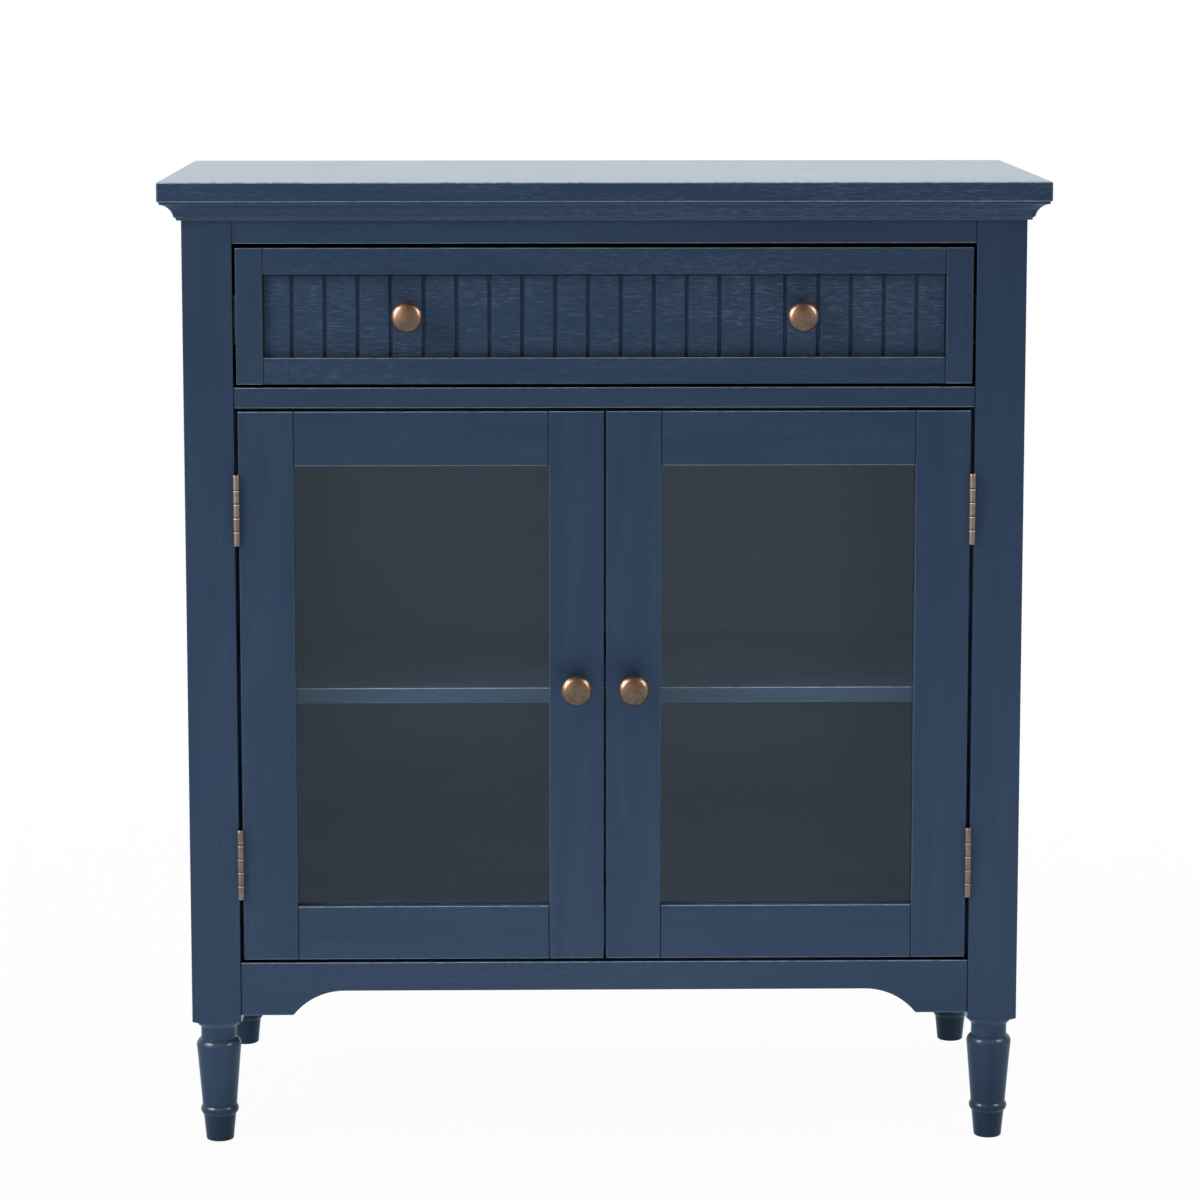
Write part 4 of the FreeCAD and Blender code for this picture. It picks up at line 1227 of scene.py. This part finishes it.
@dataclass
class GlazedDoor:
    """One door: frame, pane, beads, knob, hinge leaves, strike plate and screws."""

    side: Side
    face: float = -177 * MM
    rear: float = -157 * MM
    knob_across: float = 25.95 * MM
    knob_level: float = 429 * MM
    leaf_face: float = 332.5 * MM
    strike_level: float = 675.25 * MM
    strike_width: float = 34 * MM
    strike_height: float = 10 * MM
    strike_thickness: float = 1.2 * MM
    strike_ease: float = 0.3 * MM
    leaf_seed: int = 17
    knob_seed: int = 23

    @property
    def body(self) -> str:
        """The body that carries the door's pieces."""
        return self.side.named("door")

    def dress(self) -> None:
        """Finish the door's CAD nodes."""
        for finish, parts in ((NAVY_UPRIGHT, ("hinge_stile", "meeting_stile")),
                              (NAVY_DOOR_RAIL, ("top_rail", "bottom_rail", "glazing_beads")),
                              (GLASS, ("glass",)), (HINGE_BRONZE, ("hinge_leaves",))):
            dress(finish, *(f"{self.body}_{part}" for part in parts))

    def build_knob(self) -> None:
        """Make the door's knob."""
        Knob(f"{self.body}_knob", self.body, self.side.value * self.knob_across, self.face,
             self.knob_level).build()

    def strike_plate(self) -> Mesh:
        """Make the plate that the catch holds, with eased edges.

        Returns:
            The plate's mesh.
        """
        work = bmesh.new()
        bmesh.ops.create_cube(work, size=1.0)
        bmesh.ops.scale(work, verts=work.verts,
                        vec=(self.strike_width, self.strike_thickness, self.strike_height))
        bmesh.ops.translate(work, verts=work.verts, vec=self.side.point(
            self.knob_across, self.rear + self.strike_thickness / 2, self.strike_level))
        bmesh.ops.bevel(work, geom=list(work.edges), offset=self.strike_ease, segments=2, affect="EDGES")
        return finished_mesh(self.side.named("strike_plate"), work, ZINC)

    def build_fixings(self) -> None:
        """Make the door's screws and strike plate."""
        side = self.side
        seats = [(side.point(self.leaf_face, HINGE_SCREW_DEPTH, level), side.outward)
                 for level in HINGE_SCREW_LEVELS]
        seats.append((side.point(self.knob_across, self.rear + self.strike_thickness, self.strike_level),
                      REARWARD))
        knob_seat = (side.point(self.knob_across, self.rear, self.knob_level), REARWARD)
        place_fixings(f"{self.body}_screws", self.body, f"{self.body}_fixings", [
            WOOD_SCREW.mesh(side.named("leaf_screws"), seats, self.leaf_seed + side.value),
            KNOB_SCREW.mesh(side.named("knob_screw"), [knob_seat], self.knob_seed + side.value),
            self.strike_plate()])


@dataclass(frozen=True)
class Lamp:
    """A square soft lamp, out of the camera's sight."""

    name: str
    place: Point
    aim: Point
    size: float
    watts: float
    in_gloss: bool = True
    in_matt: bool = True

    def build(self) -> None:
        """Hang the lamp and aim it."""
        light = bpy.data.lights.new(self.name, "AREA")
        light.energy = self.watts
        light.shape = "SQUARE"
        light.size = self.size
        lamp = new_object(self.name, light)
        lamp.location = self.place
        way = Vector(self.aim) - Vector(self.place)
        lamp.rotation_euler = way.to_track_quat("-Z", "Y").to_euler()
        lamp.visible_camera = False
        lamp.visible_glossy = self.in_gloss
        lamp.visible_transmission = self.in_gloss
        lamp.visible_diffuse = self.in_matt
        LOG.info("hung %s", self.name)


@dataclass
class Studio:
    """The pale room: floor, surroundings, lamps and camera."""

    floor_reach: float = 14.0
    ambient: float = 0.08
    room_behind: Span = (0.3, 0.85)
    room_front: Span = (0.15, 0.6, 0.45, 0.06)
    room_tint: Colour = (0.78, 0.86, 0.91)
    camera_place: Point = (-64.0 * MM, -3669.4 * MM, 1077.0 * MM)
    camera_yaw: float = math.radians(0.976)
    camera_pitch: float = math.radians(7.754)
    camera_drop: float = -0.0833
    lens: float = 116.747
    sensor: float = 36.0
    lamps: tuple[Lamp, ...] = (
        Lamp("left_softbox", (-2.0, -1.4, 2.0), (0.0, -0.15, 0.4), 0.6, 15.0),
        Lamp("left_fill", (-1.7, -1.2, 1.1), (0.0, -0.15, 0.4), 1.0, 9.0),
        Lamp("right_softbox", (2.2, -1.2, 2.2), (0.0, -0.15, 0.6), 0.3, 1.5),
        Lamp("left_card", (-2.1, -1.1, 1.9), (0.0, -0.15, 0.5), 1.5, 70.0, in_matt=False),
        Lamp("right_card", (2.2, -1.1, 2.0), (0.0, -0.15, 0.5), 1.2, 42.0, in_matt=False),
        Lamp("overhead_softbox", (0.0, -0.6, 3.0), (0.0, -0.2, 0.4), 2.4, 10.0, in_gloss=False),
        Lamp("rear_overhead", (0.0, 0.3, 3.0), (0.0, 0.0, 0.4), 2.0, 56.0, in_gloss=False),
        Lamp("right_side_fill", (2.4, 0.4, 1.2), (0.4, 0.05, 0.45), 1.2, 13.0, in_gloss=False),
        Lamp("back_fill", (0.3, 2.6, 1.3), (0.0, 0.2, 0.45), 1.2, 14.0, in_gloss=False),
        Lamp("left_floor_bounce", (-0.45, -0.8, 0.02), (-0.45, -0.8, 1.0), 1.2, 4.7, in_gloss=False),
        Lamp("right_floor_bounce", (0.5, -0.8, 0.02), (0.5, -0.8, 1.0), 1.0, 4.6, in_gloss=False))

    def build_floor(self) -> None:
        """Lay the floor."""
        work = bmesh.new()
        bmesh.ops.create_grid(work, x_segments=1, y_segments=1, size=self.floor_reach)
        mesh = finished_mesh("studio_floor", work, FLOOR)
        new_object("studio_floor", mesh)

    def build_room(self) -> None:
        """Make the surroundings: white to the eye, and in gloss pale behind, dim in front and dark above."""
        world = bpy.data.worlds.new("studio_room")
        bpy.context.scene.world = world
        world.use_nodes = True
        world.node_tree.nodes.clear()
        bench = NodeBench(world.node_tree)
        _, ahead, up = bench.split(bench.out("ShaderNodeTexCoord", output="Generated"))
        seen = bench.math("MAXIMUM", bench.span(ahead, *self.room_behind), bench.span(up, *self.room_front))
        rays = bench.add("ShaderNodeLightPath").outputs
        eye = bench.math("MAXIMUM", rays["Is Camera Ray"], rays["Is Transmission Ray"])
        glossy = bench.times(rays["Is Glossy Ray"], seen)
        plain = bench.times(bench.math("SUBTRACT", 1.0, rays["Is Glossy Ray"]), self.ambient)
        strength = bench.math("MAXIMUM", eye, bench.math("ADD", glossy, plain))
        tone = bench.mix(eye, self.room_tint, WHITE)
        sky = bench.out("ShaderNodeBackground", {"Color": tone, "Strength": strength})
        bench.add("ShaderNodeOutputWorld", {"Surface": sky})

    def build_camera(self) -> None:
        """Set the camera where the photograph was taken from."""
        lens = bpy.data.cameras.new("studio_camera")
        lens.lens = self.lens
        lens.sensor_fit = "HORIZONTAL"
        lens.sensor_width = self.sensor
        lens.shift_y = self.camera_drop
        camera = new_object("studio_camera", lens)
        level = math.cos(self.camera_pitch)
        ahead = Vector((math.sin(self.camera_yaw) * level, math.cos(self.camera_yaw) * level,
                        -math.sin(self.camera_pitch)))
        camera.rotation_euler = ahead.to_track_quat("-Z", "Y").to_euler()
        camera.location = self.camera_place
        bpy.context.scene.camera = camera

    def build(self) -> None:
        """Set up the whole room."""
        self.build_floor()
        self.build_room()
        for lamp in self.lamps:
            lamp.build()
        self.build_camera()
        bpy.context.scene.view_settings.view_transform = "Standard"


def main() -> None:
    """Build the cabinet's dress and its studio, in order."""
    logging.basicConfig(level=logging.INFO, format="%(message)s")
    Studio().build()
    carcass = Carcass()
    carcass.dress()
    carcass.build_screws()
    drawer = BeadboardDrawer()
    drawer.dress()
    drawer.build_panel()
    drawer.build_knobs()
    drawer.build_screws()
    for side in Side:
        door = GlazedDoor(side)
        door.dress()
        door.build_knob()
        door.build_fixings()


if __name__ == "__main__":
    main()
